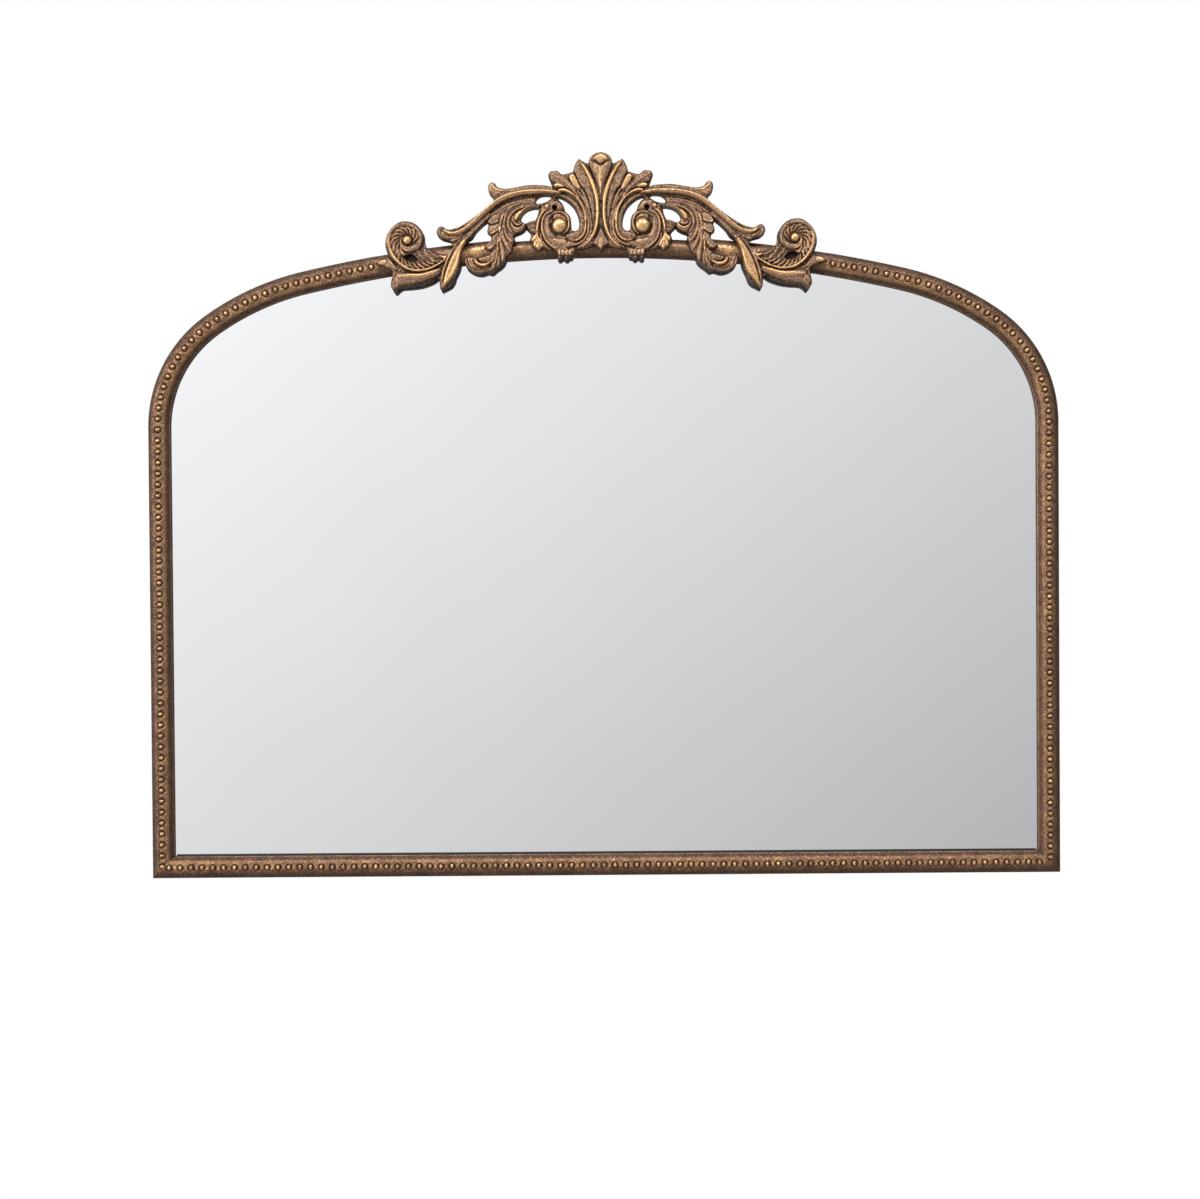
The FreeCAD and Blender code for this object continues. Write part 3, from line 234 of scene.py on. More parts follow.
# The carving, in the order in which it is laid: kind | piece | levels | points in px. A leaf is a closed outline with
# a rounded edge, and a rod is a line of (x, y, half width). Both cover what is under them. Their levels are the rise
# of their edge, the rise of their crown above it, and their rub. A rib is raised on what is there (rise, rub), and a
# groove is cut into it (depth). The flutes go round the volute's eye, and along its tail between pairs of points.
# The rub sets the gold and also paints light and shade: the ribs named light and the lancet's rub are painted
# highlights, grooves darken as painted shade, and the dark pocket is painted black as shade.
crest_carving = """
# Outer volute and its tail
leaf | volute field | 0.16 0.06 0.26 | 424 247, 430 250, 440 254, 447 255, 449 258, 443 263, 434 267.5, 424 270.5,
    414 270.5, 404 267, 396 260, 390.5 251, 388.5 243, 389.5 235, 394 228, 401 224, 409 224, 416 227, 421 233, 423 240
flutes | volute flutes | 0.2 0.34 0.62 | 397.6 250.4, 396.4 257, 399.8 254, 400 261.4, 402.6 257.4, 404.6 265,
    405.6 260.2, 409.6 267.2, 409.2 261.4, 414.6 268.4, 413.2 261.8, 419.6 268.6, 417.4 261.4, 424.6 267.6, 421.8 260.8,
    429.4 266, 426.4 260.4, 433.8 263.8, 431.2 259.8, 438 261.4
rod | volute band | 0.36 0.22 0.48 | 421 235 1.2, 420.3 241.5 2.2, 417 246.8 3, 411.5 249.2 3, 405.8 248 2.4,
    402.4 244 1.6, 402 240 1
rib | volute ring | 0.16 0.88 | 404 237.8 0.7, 401.6 241 0.9, 401.6 245.5 1, 404 249.3 1, 408.5 251.3 0.8
rod | volute rim | 0.5 0.22 0.46 | 447 258.5 0.9, 441 262.8 1.3, 436 265.8 1.4, 430 268.5 1.5, 423 270.2 1.6,
    416 270.3 1.7, 409 269 1.8, 402.9 265.4 2, 397.8 260.9 2.1, 393.8 256.2 2.1, 390.8 250.5 2.1, 389.2 245 2.1,
    388.9 240.6 2.1, 389.9 236 2.1, 392.4 231.6 2, 396 227.8 2, 400.4 225.4 2, 405 224.5 2, 410.6 225.3 2,
    415.6 227.6 1.9, 419.2 230.8 1.8, 421.4 235 1.8, 421.9 239.6 1.7, 421.1 244 1.5, 418.8 248.6 1
rib | volute rim rub | 0.06 0.96 | 445 260.3 0.7, 433 267.3 0.9, 423 270 0.9, 414 270 1, 405.4 266.8 1, 399 261.8 1.1,
    394.4 255.4 1.1, 391.4 248.6 1, 390.2 241 1, 391.4 235.4 0.8
rib | volute rim rub | 0.05 0.62 | 396.4 229 0.5, 403.4 226 0.6, 410.6 226.6 0.6, 416.6 230 0.6, 420.3 235.4 0.8,
    420.9 241 0.8, 419 247 0.6
rib | tail hook | 0.2 0.74 | 418 250.5 0.7, 420.5 255 0.9, 424.8 259.2 0.8
rib | tail hook | 0.2 0.74 | 425 249.5 0.7, 427.5 254.8 0.9, 432.3 258.8 0.9, 436 261.3 0.7
rib | tail hook | 0.2 0.66 | 429.5 249.8 0.7, 432.5 253.8 0.9, 437.5 256.2 0.9, 441 257.3 0.7
leaf | pitted web | 0.3 0.06 0.44 | 444 253, 450 246, 457 239, 462 235.5, 458 243, 453 251, 448 254
leaf | star leaf | 0.5 0.12 0.86 | 439.5 253.5, 443 255.5, 447 254.5, 453 249.5, 450 255.5, 448.5 259, 445 262,
    443.5 258.5, 440.5 257
leaf | dark pocket | -0.45 0 0 | 404.3 256.6, 408.5 254.4, 413 254.6, 416.6 257.6, 418.2 260, 415.5 261.2, 409.5 260.4
# End leaf and fishtail
leaf | end leaf | 0.16 0.22 0.48 | 375.5 263.5, 380 260, 385 258.5, 390 258, 394 262, 399 269, 393 271.5, 386 269.5,
    379 266.5
leaf | end leaf crown | 0.36 0.1 0.84 | 377.5 262.8, 382 259.8, 386.5 259, 388 262, 386 264.8, 380 264.5
rib | end leaf rim | 0.1 0.72 | 376.5 265 0.6, 383 268 0.9, 391 270.3 0.9, 397 272 0.7
rib | end leaf fold | 0.12 0.6 | 391.5 261.5 0.8, 395 266.3 0.9, 400 270.3 0.8
leaf | fishtail | 0.26 0.34 0.4 | 397 272, 408 272, 420 272.8, 430 270.5, 441 267, 443 271, 438 275.5, 430 279,
    420 282.5, 410 285, 402 286, 398 288.5, 395 291.5, 392.5 289, 391.3 285, 392.5 280.5, 395.5 276.5
rib | fishtail crown | 0.12 0.72 | 399 276.2 1.8, 410 276 3.2, 421 275.2 3.4, 431 272.6 2.8, 439 269.4 1.6
rib | fishtail crown rub | 0.03 0.88 | 408 274.6 0.9, 416 274.6 1.4, 425 273.4 1.4, 434 270.6 1
rib | fishtail fold | 0.06 0.58 | 397.5 279 1, 398.6 283 1.1, 396.8 287.5 0.9
rib | fishtail edge | 0.04 0.5 | 396.5 276.5 0.7, 394 281 0.8, 393.4 285 0.7
# Spear and the strip above it
leaf | spear | 0.3 0.12 0.46 | 441.5 289.5, 439.8 284, 440.5 277, 442 270, 444.8 262.5, 449 254.5, 453.5 247, 458.5 239,
    464 232.5, 472 226, 480 219.5, 488 212, 493 214, 485.5 222, 478 230, 471.5 238, 466.5 247, 463 255, 461.5 263,
    459 271, 455.5 277.5, 450.5 281.5, 446 285.5
leaf | spear belly | 0.36 0.34 0.78 | 442.6 286.5, 443.6 280, 445.4 272, 448.6 263, 452.4 255, 457 247.5, 461.5 241.5,
    466.5 236.5, 470 236.5, 467 242.5, 464.2 249.5, 462.3 256.5, 460.6 263.5, 458.2 270, 454.5 275.8, 450 280.4, 446 284
rib | spear belly crown | 0.06 0.94 | 467 239.5 0.8, 463.8 246 1.4, 461 252.6 1.9, 459 259.5 2.3, 456.8 266 2.3,
    453.8 272.2 1.9, 449.8 278 1.6, 445.6 283.3 1.4, 443 287 0.8
groove | spear groove | 0.16 | 463 237.5 0.5, 457.4 245 0.6, 453.2 252 0.7, 450 259.5 0.7, 447.2 267 0.6, 444.6 275 0.5,
    442.8 282 0.4
rib | spear rim | 0.2 0.84 | 453.5 248.5 0.6, 450 255 0.9, 446.8 261.5 1, 444.6 268 1, 442.8 275 0.9, 441.8 282 0.7
rib | strip line | 0.16 0.62 | 466 240.5 0.7, 472.5 233.8 0.8, 479 227.3 0.8, 485.5 220.8 0.8, 491.3 215.6 0.7
rib | strip line | 0.14 0.58 | 471 239 0.6, 477 231.6 0.7, 483 225.5 0.7, 488.5 220.3 0.6
# Horns and the stem
leaf | lower horn | 0.3 0.18 0.44 | 452 229.5, 447 228.3, 443 225.8, 440 226.2, 437.8 229.5, 437.3 233.5, 438.8 237.8,
    442 240.8, 447 242.6, 453 243, 458 240, 464 236, 470 231.5, 470 226, 460 228.5
rod | lower horn rim | 0.42 0.14 0.5 | 443.3 227.5 1, 440.3 229.5 1.3, 439.8 234 1.4, 442 238.2 1.4, 447 240.7 1.3,
    453.5 240.8 1.2, 459.5 238 0.9
rib | lower horn line | 0.1 0.6 | 443.8 232 0.7, 445.5 236 0.8, 450.5 237.8 0.8, 457 236.6 0.8, 464 233.2 0.7
leaf | upper horn | 0.32 0.2 0.52 | 492 182.3, 489.5 186, 488.8 190.5, 490.5 194.8, 494 198, 499 198, 505 194.5,
    513 191.3, 522 189, 532 187.6, 545 187.5, 553 188.5, 553 186.8, 545 185.2, 530 185, 515 187.3, 508 188.6, 502 188.8,
    497.5 187, 494.5 184
rib | upper horn line | 0.08 0.8 | 493.3 187 0.8, 496 189.5 1.1, 500.5 191.3 1, 506 191 0.8
rod | stem edge | 0.42 0.1 0.48 | 452 229.8 1, 459 227.8 1.3, 466 224.1 1.4, 473 219.1 1.4, 480 213 1.4, 487 206.6 1.5,
    494 200.8 1.5, 500 196.8 1.4, 508 193 1.4, 517 190.4 1.5, 528 188.7 1.6, 540 188.1 1.6, 552 189.1 1.4
rod | stem | 0.48 0.42 0.7 | 445 230.6 1.2, 447.3 232.6 2.1, 452.5 234 2.3, 460 232.6 2.4, 467 228.5 2.7, 474 222.7 3,
    480 217.2 3.1, 486 211.6 3.2, 492 206.4 3.3, 498 201.9 3.3, 505 198 3.2, 513 195.2 3.1, 522 193.4 3, 532 192.4 3,
    543 192.2 2.9, 553 192.8 2.5, 560 194.6 1.8
rib | stem crown | 0.05 0.8 | 445.6 231.3 1.3, 449.5 233.3 1.6, 456 232.8 1, 467 227.7 1, 474 221.8 1.1, 486 210.6 1.2,
    498 200.9 1.2, 505 197.1 1.2, 513 194.3 1.2, 522 192.5 1.2, 532 191.5 1.2, 546 191.4 1.1, 554 192.2 0.9
# Acanthus
leaf | acanthus | 0.26 0.1 0.42 | 492 213.5, 498 208.5, 506 204, 516 200.7, 528 198.5, 538 197.7, 536 203.5, 540 207.5,
    533 207.3, 527 208.5, 521 213, 519.5 219, 523 223.5, 526 227, 523 231.5, 517 234.5, 513.5 236, 515 243, 511 253,
    505 262, 497 270, 492.5 274.5, 489.5 271, 490 265, 488.5 260, 489.5 255, 495 250, 489 250.5, 484.5 248, 489 243,
    492 238, 491.5 235.5, 488.3 232, 488.5 227, 489.5 224, 489 218.5
rib | upper streak | 0.12 0.56 | 494 213.5 0.8, 503 208 0.9, 512 203.6 0.9, 523 201 0.9, 536 199.6 0.8
rib | upper streak | 0.12 0.52 | 498 215 0.8, 505 209.8 0.9, 514 205.6 0.9, 525 203 0.9, 537 202 0.8
rod | upper curl rim | 0.42 0.16 0.6 | 540 206 0.8, 530 206.5 1, 521.9 207.9 1.1, 514.4 211.6 1.2, 509.6 217.9 1.3,
    508.3 223.5 1.3, 509.6 228.5 1.3, 512.5 233 1
leaf | upper curl hollow | 0.26 0.1 0.44 | 538 207.5, 528 208, 520 210.3, 514.3 214.8, 511.2 220, 512 225, 516 227,
    521 225, 522 221, 520 218, 524 212.5, 531 209.5
rod | right lobe | 0.4 0.16 0.56 | 521 203.4 0.9, 513 206.8 1.1, 507.8 211.8 1.3, 505 218.5 1.4, 504.3 226 1.5,
    506 233.5 1.7, 509.5 239.5 1.9, 513.7 243 1
rod | right lobe | 0.42 0.16 0.58 | 505 214 0.9, 502.3 222 1.2, 501.8 230 1.4, 503.5 238 1.8, 507 245.5 2.1,
    510.5 252 1.2
rod | right lobe | 0.42 0.18 0.58 | 500.5 234 1, 500.8 242 1.6, 502.5 250 2.3, 503.5 257 2.5, 503 264 1.3
rod | right lobe | 0.38 0.16 0.52 | 498.5 254 1, 498.5 261 1.8, 497.5 268 1.2
rod | acanthus body | 0.42 0.16 0.52 | 497.5 243 1.2, 496.5 252 2, 494.8 261 2.4, 493 268.5 2, 492.5 273 1
leaf | left lobe | 0.34 0.14 0.46 | 500 214.5, 496 214.5, 492.6 216.2, 489.2 219.4, 487.6 222, 489 223.8, 492.4 224.6,
    496.4 223.6, 499.4 220.6
rib | left lobe rim | 0.12 0.74 | 488.6 222.4 0.6, 491.2 223.6 0.8, 495.4 223 0.8, 498.6 220.8 0.6
leaf | left lobe | 0.36 0.14 0.46 | 499.4 223.6, 495.4 224.8, 491.2 225.4, 488.6 228, 487.8 231.2, 488.8 234,
    490.8 235.4, 494 234, 497 231.8, 499.4 230
rib | left lobe rim | 0.16 0.9 | 488.4 231.4 0.6, 489.4 233.4 0.8, 491.4 234 0.9, 494.6 232.6 0.9, 498.4 229.8 0.7
leaf | left lobe | 0.38 0.14 0.52 | 499 232.4, 495.6 233.8, 492 237, 489.4 240.6, 485.6 243.4, 482.8 245.8, 484.4 248.6,
    487.4 250, 491 249.6, 494.4 246.8, 496.6 243, 498.6 238
rib | left lobe rim | 0.1 0.76 | 483.6 246.4 0.6, 485.6 248.4 0.8, 488.8 249 0.9, 492.6 247 0.8, 495.4 243.6 0.6
rib | left lobe fold | 0.08 0.6 | 498 234.6 0.6, 494.4 237.8 0.8, 491.6 241.4 0.8, 488.4 244.4 0.6
leaf | left lobe | 0.34 0.16 0.48 | 498 247, 494.4 249.6, 491 252.6, 489.2 256.4, 489 261, 491.6 263, 494.4 260.6,
    496.6 255
groove | vein shadow | 0.16 | 504.2 217 0.7, 502.3 224 0.8, 501.4 231.5 0.8
rib | vein | 0.26 0.96 | 502.8 215.5 0.7, 501.2 221 1, 500.2 227 1.1, 499.8 232 0.9
rib | vein | 0.22 0.9 | 498.8 236.5 0.7, 498.2 243 1, 497.9 250 1, 496.6 257 0.9, 495 264 0.7
leaf | upper curl bowl | 0.44 0.22 0.5 | 509.8 222.5, 511.5 229, 515.5 233.4, 521 232.6, 524.8 229.2, 526 225,
    523.8 222.8, 521.5 226, 517.8 227.4, 514 226, 512 222
rib | upper curl ring | 0.14 0.9 | 511.4 223.6 0.6, 513.4 227.3 0.9, 517.5 229.1 1, 521.5 227.5 0.9, 524.3 224.4 0.6
groove | upper curl groove | 0.14 | 512.8 222.8 0.5, 515 226 0.6, 518 227.1 0.6, 521.4 225.8 0.6, 523.4 223.3 0.5
rib | upper curl ring | 0.12 0.7 | 513.8 222 0.6, 516 224.7 0.8, 519 225.3 0.8, 522.2 223.2 0.6
rod | upper curl crescent | 0.5 0.42 0.9 | 538.5 207.2 0.8, 531.3 208.1 1.2, 525.2 210.3 1.8, 520.4 213.8 2.5,
    517.2 217.4 2.8, 516.2 219.2 2.3
rib | upper curl lip | 0.12 0.76 | 521.3 215.5 0.6, 523 211.6 0.7, 528 208.7 0.7, 534 207.5 0.7, 539 207.9 0.6
rod | lower curl rim | 0.34 0.22 0.5 | 465.8 257.5 1.2, 466.4 263.6 1.9, 469.6 268.6 2.2, 475 271.6 2.4,
    481.5 272.2 2.3, 488 270.5 2, 492 268 1.2
rib | lower curl rim light | 0.05 0.68 | 465.9 260 0.6, 466.6 264.4 0.8, 469.5 268.6 0.9, 475 271.2 0.9,
    481.4 271.4 0.9, 487 270 0.7
rib | lower curl line | 0.16 0.9 | 468.9 259 0.7, 469.7 263.1 0.9, 472.2 266.6 0.8
rib | lower curl line | 0.16 0.78 | 472.1 257.8 0.7, 472 261.7 0.8, 474.3 265.7 0.9, 478.6 268.2 0.9, 483.6 268.3 0.9,
    488 266.2 0.7
rod | lower curl crescent | 0.5 0.34 0.92 | 475.3 258.6 0.9, 476.4 262.2 1.5, 480 264.6 1.8, 485 264.9 1.8,
    489.6 262.6 1
leaf | lower curl eye | 0.28 0.2 0.46 | 477.6 258.3, 482 256.6, 489 254.5, 492 257, 489.7 261.2, 485.5 262.6,
    480.5 261.9
# Inner volute
leaf | round leaf | 0.32 0.2 0.44 | 542 206, 547 202.5, 553 200, 558 201.3, 562 205, 564.8 211, 558 210.8, 551 211,
    545 214, 541 219, 540 214
rod | pillar | 0.26 0.1 0.3 | 554.6 197 1.1, 554.6 200.5 1.2
rod | volute cup | 0.26 0.14 0.5 | 549 214.5 2.4, 546.2 221 3.2, 546.6 230 3.9, 550.5 238.3 4.6, 557.5 242.8 4.8,
    566 244.2 3.6, 573 243.6 2.2
rib | volute cup light | 0.05 0.64 | 547.3 223 1, 547.4 230 1.3, 549.6 236 1
leaf | volute cup rub | 0.38 0.06 0.7 | 551 238, 557 238.6, 564 239.2, 567 242, 562 245, 556 243.5
groove | volute ring shadow | 0.1 | 555 218.8 0.7, 551.6 222.6 0.9, 550.9 228 1, 553.3 232.8 1, 558.5 235.4 1,
    564.5 235.2 0.9
leaf | inner cup | 0.34 0.08 0.5 | 553 214.5, 559 213.5, 564.5 216, 567 221, 566 226, 563 221, 558 219.5, 553 220.5
rib | inner cup light | 0.1 0.66 | 558 216.4 0.7, 562.5 217.6 0.9, 565.5 221.1 0.9, 566 225.5 0.7
rod | inner spiral | 0.5 0.2 0.66 | 549.5 217.5 0.6, 553 214 0.9, 558.5 212.3 1.1, 564.5 214 1.4, 568.2 218.8 1.5,
    568.9 225 1.5, 566.8 230.6 1.4, 563 233.8 0.8
rib | inner spiral rub | 0.04 0.88 | 567 217.5 0.7, 568.4 222.5 0.8, 567.8 227.5 0.8, 565.5 231.5 0.6
rod | volute edge | 0.5 0.15 0.66 | 553 211.3 0.9, 547 213.8 1.2, 543.2 218.8 1.3, 542 225.5 1.3, 542.8 233 1.4,
    546 240.5 1.4, 551.5 245.9 1.4, 558 248.8 1.3, 566 249 1.2
rod | left rim | 0.5 0.22 0.9 | 547 209.3 0.9, 543 212.6 1.2, 539.9 217.5 1.3, 538 223.5 1.4, 537 229.5 1.6, 536.8 235 2
rod | lower rim | 0.38 0.16 0.58 | 540.3 234 1, 541.8 240.5 1.2, 545.5 246.3 1.3, 551 250.3 1.2, 557 252.2 1
leaf | small leaf | 0.22 0.16 0.38 | 536.5 219.5, 531 220.5, 527.5 222.5, 526 226, 528 229.5, 531 233, 534.5 234,
    536 229
rib | small leaf rib | 0.14 0.52 | 536 222 0.6, 530.5 222.8 0.9, 527.5 225.3 0.6
rib | small leaf rib | 0.14 0.52 | 536 226.5 0.6, 531 227 0.9, 528.5 229 0.6
rib | small leaf rib | 0.14 0.5 | 535.5 230.3 0.6, 532.3 231.3 0.9
leaf | side leaf | 0.42 0.16 0.84 | 537 231.5, 534.5 235, 530.8 238.8, 531 241, 533.6 242.2, 532.6 245.8, 535 247.6,
    536.4 248.2, 538 251, 540.2 249.4, 541 247.6, 543.6 246.6, 541.8 242.4, 539.3 237
groove | side leaf cut | 0.1 | 534.5 241.8 0.6, 537 238.5 0.5
groove | side leaf cut | 0.1 | 535.7 247 0.6, 537.5 242.5 0.5
groove | side leaf cut | 0.1 | 540.5 247.8 0.6, 539.3 243 0.5
# Scroll between the volute and the palmette
rod | inner scroll | 0.28 0.16 0.42 | 556 195.8 1.5, 564 197.6 2.2, 571.5 201.8 2.6, 577.5 208.6 2.8, 581.2 217 2.8,
    581.7 226 3, 579 233 3.8, 573 236.3 4.4, 568.5 236.5 3
rod | second strand | 0.38 0.16 0.5 | 573 186 0.9, 580 194.5 1.3, 586 205 1.5, 590 216.5 1.7, 591.3 228 1.8,
    588.5 238 1.8, 582 245 1.5, 576 249 1
rod | pale strand | 0.42 0.18 0.6 | 565 186.8 0.8, 572 191.5 1, 578.5 198.5 1.1, 584 207.8 1.2, 587.6 218 1.3,
    588 229 1.3, 585.3 237.5 1.3, 579.5 243 1.3, 572 245.3 1.1
rod | scroll line | 0.58 0.2 0.93 | 559.5 191 1.4, 564 190.8 1.8, 569 192.6 1.4, 575.5 197.3 1.1, 580.8 204.3 1.1,
    584.3 213 1.1, 585.4 222 1.2, 584.8 230 1.2, 581.8 236.8 1.1, 576 240.5 1, 569.5 240.2 0.8
leaf | tassel points | 0.3 0.14 0.36 | 557.2 255, 573.5 255, 571.4 258.4, 569 259, 566.5 261.6, 563 259, 559.5 261.4
leaf | tassel | 0.44 0.16 0.66 | 557 249, 566 249.5, 575.5 247.3, 574.5 251.5, 573 255.6, 558 255.4, 556.8 252
groove | tassel cut | 0.16 | 561 250 0.6, 560.5 256 0.6
groove | tassel cut | 0.16 | 564.8 250.3 0.6, 564.8 256 0.6
groove | tassel cut | 0.16 | 568.4 250 0.6, 568.8 256 0.6
groove | tassel cut | 0.14 | 571.8 249.3 0.6, 571.8 257 0.6
# Palmette
leaf | outer leaf | 0.34 0.2 0.43 | 549.5 174.5, 550.5 171.8, 554 170.8, 558 172, 561.5 175, 566 179, 572 185, 578 193,
    582 201, 577 197, 570 191, 563 187.5, 557 184.5, 552.5 183, 550 179
rib | outer leaf vein | 0.14 0.62 | 551.5 175 0.6, 557 177.8 0.9, 563 181.3 1, 569 186.2 1, 574.5 192.5 0.9,
    579 199.5 0.7
rib | small lobe | 0.16 0.5 | 562.5 175.3 0.8, 566 179 1, 570.5 184.6 1, 575.5 190.8 0.8
rib | small lobe | 0.16 0.46 | 567 175 0.8, 569.3 179.3 0.9
leaf | gold lobe | 0.5 0.2 0.82 | 553.3 185.8, 555.5 184, 559.5 184, 563 186, 566 187.5, 562.5 188.3, 558.5 188.6,
    555 188.3
rod | second leaf strand | 0.42 0.14 0.52 | 577 185.5 1, 582 191.5 1.4, 586 199.5 1.5, 589 209 1.2
leaf | second leaf | 0.44 0.16 0.78 | 569 177, 571 174.5, 574 175, 576.5 178.5, 578.5 183, 580.3 187, 581 190.5,
    577.5 190, 573.5 186.5, 570.5 182
leaf | big leaf | 0.4 0.14 0.45 | 579.5 159.3, 576.3 163, 574.5 167.5, 573.7 172, 575.5 175, 578 181, 580.5 186,
    584.5 190.5, 587.5 198, 590 207, 592 219, 592.3 230, 589.5 239.5, 584 246, 577 249.8, 584 250, 590 247.5, 595 241,
    598.5 233, 600.3 224, 600.3 204, 598.5 193, 595 182.5, 590.5 173, 586.5 165.5, 583 162
groove | big leaf hollow | 0.1 | 584.5 172 0.8, 588.5 180 1, 591.8 189 1.1, 593.8 199 1.1, 594.5 210 1, 593.8 221 1,
    591.8 230 0.9
rod | big leaf midrib | 0.64 0.24 0.93 | 578.6 161.3 0.7, 583.6 167.6 1.3, 588.2 175 1.8, 592 183.3 2.1, 595 192 2.2,
    597 201 2.2, 597.6 210 2.1, 597.1 219 1.9, 595.6 227.5 1.7, 592.8 235 1.5, 588.5 241.5 1.2, 582 246.8 0.8
leaf | middle ground | 0.4 0.06 0.34 | 600.5 190, 599 200, 599.2 215, 597.5 228, 594 239, 600.5 250, 607 239, 603.5 228,
    601.8 215, 602 200
leaf | lancet | 0.46 0.16 0.48 | 600.5 224, 603 232, 607 240, 608.5 244, 604 246.5, 600.5 250, 597 246.5, 592.5 244,
    594 240, 598 232
rib | lancet rub | 0.06 0.72 | 600.5 238.5 0.8, 600.5 243 2.2, 600.5 247 1.4
groove | lancet gap | 0.12 | 599.7 226 0.8, 597 234 0.9, 593 240.8 0.9
leaf | knob | 0.5 0.24 0.42 | 600.5 152.3, 606.5 154, 611 158.8, 612 164, 610 170, 606.8 178, 604 187, 600.5 203,
    597 187, 594.2 178, 591 170, 589 164, 590 158.8, 594.5 154
rib | knob rim | 0.06 0.52 | 590.5 164 0.8, 591.2 159.3 1, 595 155 1.1, 600.5 153.6 1
rib | knob side | 0.06 0.54 | 589.4 166 0.6, 592.3 172.5 0.7, 595.4 182 0.7, 598 192.5 0.7, 599.6 201 0.6
leaf | knob tongue | 0.62 0.14 0.6 | 592.3 165, 596 163.3, 598.5 165.8, 600.5 167, 602.5 165.8, 605 163.3, 608.7 165,
    607 171, 604.3 179, 602.3 187, 600.5 196, 598.7 187, 596.7 179, 594 171
rib | knob light | 0.05 0.84 | 600.5 170 1.4, 600.5 178 1.7, 600.5 187 1, 600.5 194 0.6
leaf | knob cap | 0.7 0.16 0.74 | 592 161.2, 595.2 157.2, 600.5 155, 605.8 157.2, 609 161.2, 605.2 161.7, 603 164,
    600.5 165.2, 598 164, 595.8 161.7
groove | knob mouth | 0.22 | 591.6 162.6 0.5, 595 162.4 0.6, 597.5 164.9 0.7, 600.5 166.3 0.7"""

# Balls of the crest, as x, y and radius in px and a height, of which a share is a foot under the dome, and a round pit,
# whose black floor is painted shade
crest_balls_px = [(408, 240.4, 4.4, 0.9), (559.3, 226.0, 7.2, 1.0), (547.2, 206.9, 2.7, 0.84)]
ball_foot_share = 0.5
crest_pit_px = (554.7, 207.8, 2.3)
pit_floor = -0.4

# Flutes of the outer volute, at their inner end, middle and outer end: how far from its eye, how far turned round it,
# and how wide. A flute of its tail sags in the middle
volute_eye_px = (406.5, 240.8)
flute_count = 10
flute_reaches_px = (7.6, 11.6, 15.6)
flute_turns = [math.radians(turn) for turn in (134.0, 112.0, 90.0)]
flute_sweep = math.radians(232.0)
flute_half_widths_px = (0.825, 1.5675, 2.31)
tail_flute_sag_px = (-0.7, 0.6)
tail_flute_half_widths_px = (0.8, 1.4, 1.3)

# Camera, in metres
camera_place = (-1.8 * MM, -1.815, -0.1771)
camera_lens_mm = 53.65
camera_turn = (math.radians(90.0 - 0.8), math.radians(0.42), math.radians(0.08))

# Studio, in metres: the floor, and each soft box with its place, its size and its power in watts. The wrap of light
# changes from one y of its direction to another, and the numbers after those are its strengths there
floor_height, floor_near, floor_far, floor_side = -0.93, -2.2, 0.25, 1.5
light_aim = (0.0, 0.0, -0.1)
light_to_left, light_to_top = 0.62, 0.79
light_before_mirror = (-0.93, -0.4, 0.774, 0.3)
light_behind_mirror = (0.05, 0.5, 0.12, 0.8)
soft_boxes = [
    ("overhead_box", (0.0, -1.5, 1.5), (2.6, 0.45), 50.0),
    ("left_box", (-3.6, -3.0, 0.7), (1.2, 2.4), 150.0),
    ("right_box", (2.1, -1.9, 0.3), (0.8, 1.6), 7.0),
]


def point(x, depth, height):
    """A point at x, so far forward from the wall and so far above the frame's bottom edge."""
    return (x, -depth, height - hang_height)


def linear(colour):
    """An sRGB hex colour as linear RGBA."""
    channels = [int(colour[i:i + 2], 16) / 255 for i in (1, 3, 5)]
    return [c / 12.92 if c <= 0.04045 else ((c + 0.055) / 1.055) ** 2.4 for c in channels] + [1.0]


def add_node(tree, kind, inputs=None, stops=None, **settings):
    """Adds a node with its settings; an input takes a value, or a socket to be linked from."""
    made = tree.nodes.new(kind)
    for name, value in settings.items():
        setattr(made, name, value)
    for key, value in (inputs or {}).items():
        if isinstance(value, bpy.types.NodeSocket):
            tree.links.new(value, made.inputs[key])
        else:
            made.inputs[key].default_value = value
    for i, (place, colour) in enumerate(stops or []):
        elements = made.color_ramp.elements
        element = elements[i] if i < len(elements) else elements.new(place)
        element.position = place
        element.color = linear(colour)
    return made


def add_maths(tree, operation, *values, **settings):
    """The result of a maths node on values or sockets."""
    return add_node(tree, "ShaderNodeMath", dict(enumerate(values)), operation=operation, **settings).outputs[0]


def add_range(tree, value, from_min, from_max, to_min, to_max):
    """A value carried from one range to another."""
    return add_node(tree, "ShaderNodeMapRange", {
        "Value": value, "From Min": from_min, "From Max": from_max, "To Min": to_min,
        "To Max": to_max}).outputs["Result"]


def add_noise(tree, size_mm, noise):
    """Noise of a real size, on the piece's own coordinates."""
    place = add_node(tree, "ShaderNodeTexCoord").outputs["Object"]
    return add_node(tree, "ShaderNodeTexNoise", {
        "Vector": place, "Scale": 1 / (size_mm * MM), "Detail": noise[0], "Roughness": noise[1]}).outputs["Fac"]


def add_ramp(tree, value, stops):
    """Colours picked by a value."""
    return add_node(tree, "ShaderNodeValToRGB", {"Fac": value}, stops=stops).outputs["Color"]


def add_bump(tree, height, distance_mm, strength):
    """A normal bumped by a height."""
    return add_node(tree, "ShaderNodeBump", {
        "Height": height, "Distance": distance_mm * MM, "Strength": strength}).outputs["Normal"]


def empty_tree(owner):
    """The owner's node tree, emptied."""
    owner.use_nodes = True
    owner.node_tree.nodes.clear()
    return owner.node_tree


def close_tree(tree, inputs):
    """Adds a shader with its inputs, and the output."""
    shader = add_node(tree, "ShaderNodeBsdfPrincipled", inputs).outputs["BSDF"]
    add_node(tree, "ShaderNodeOutputMaterial", {"Surface": shader})


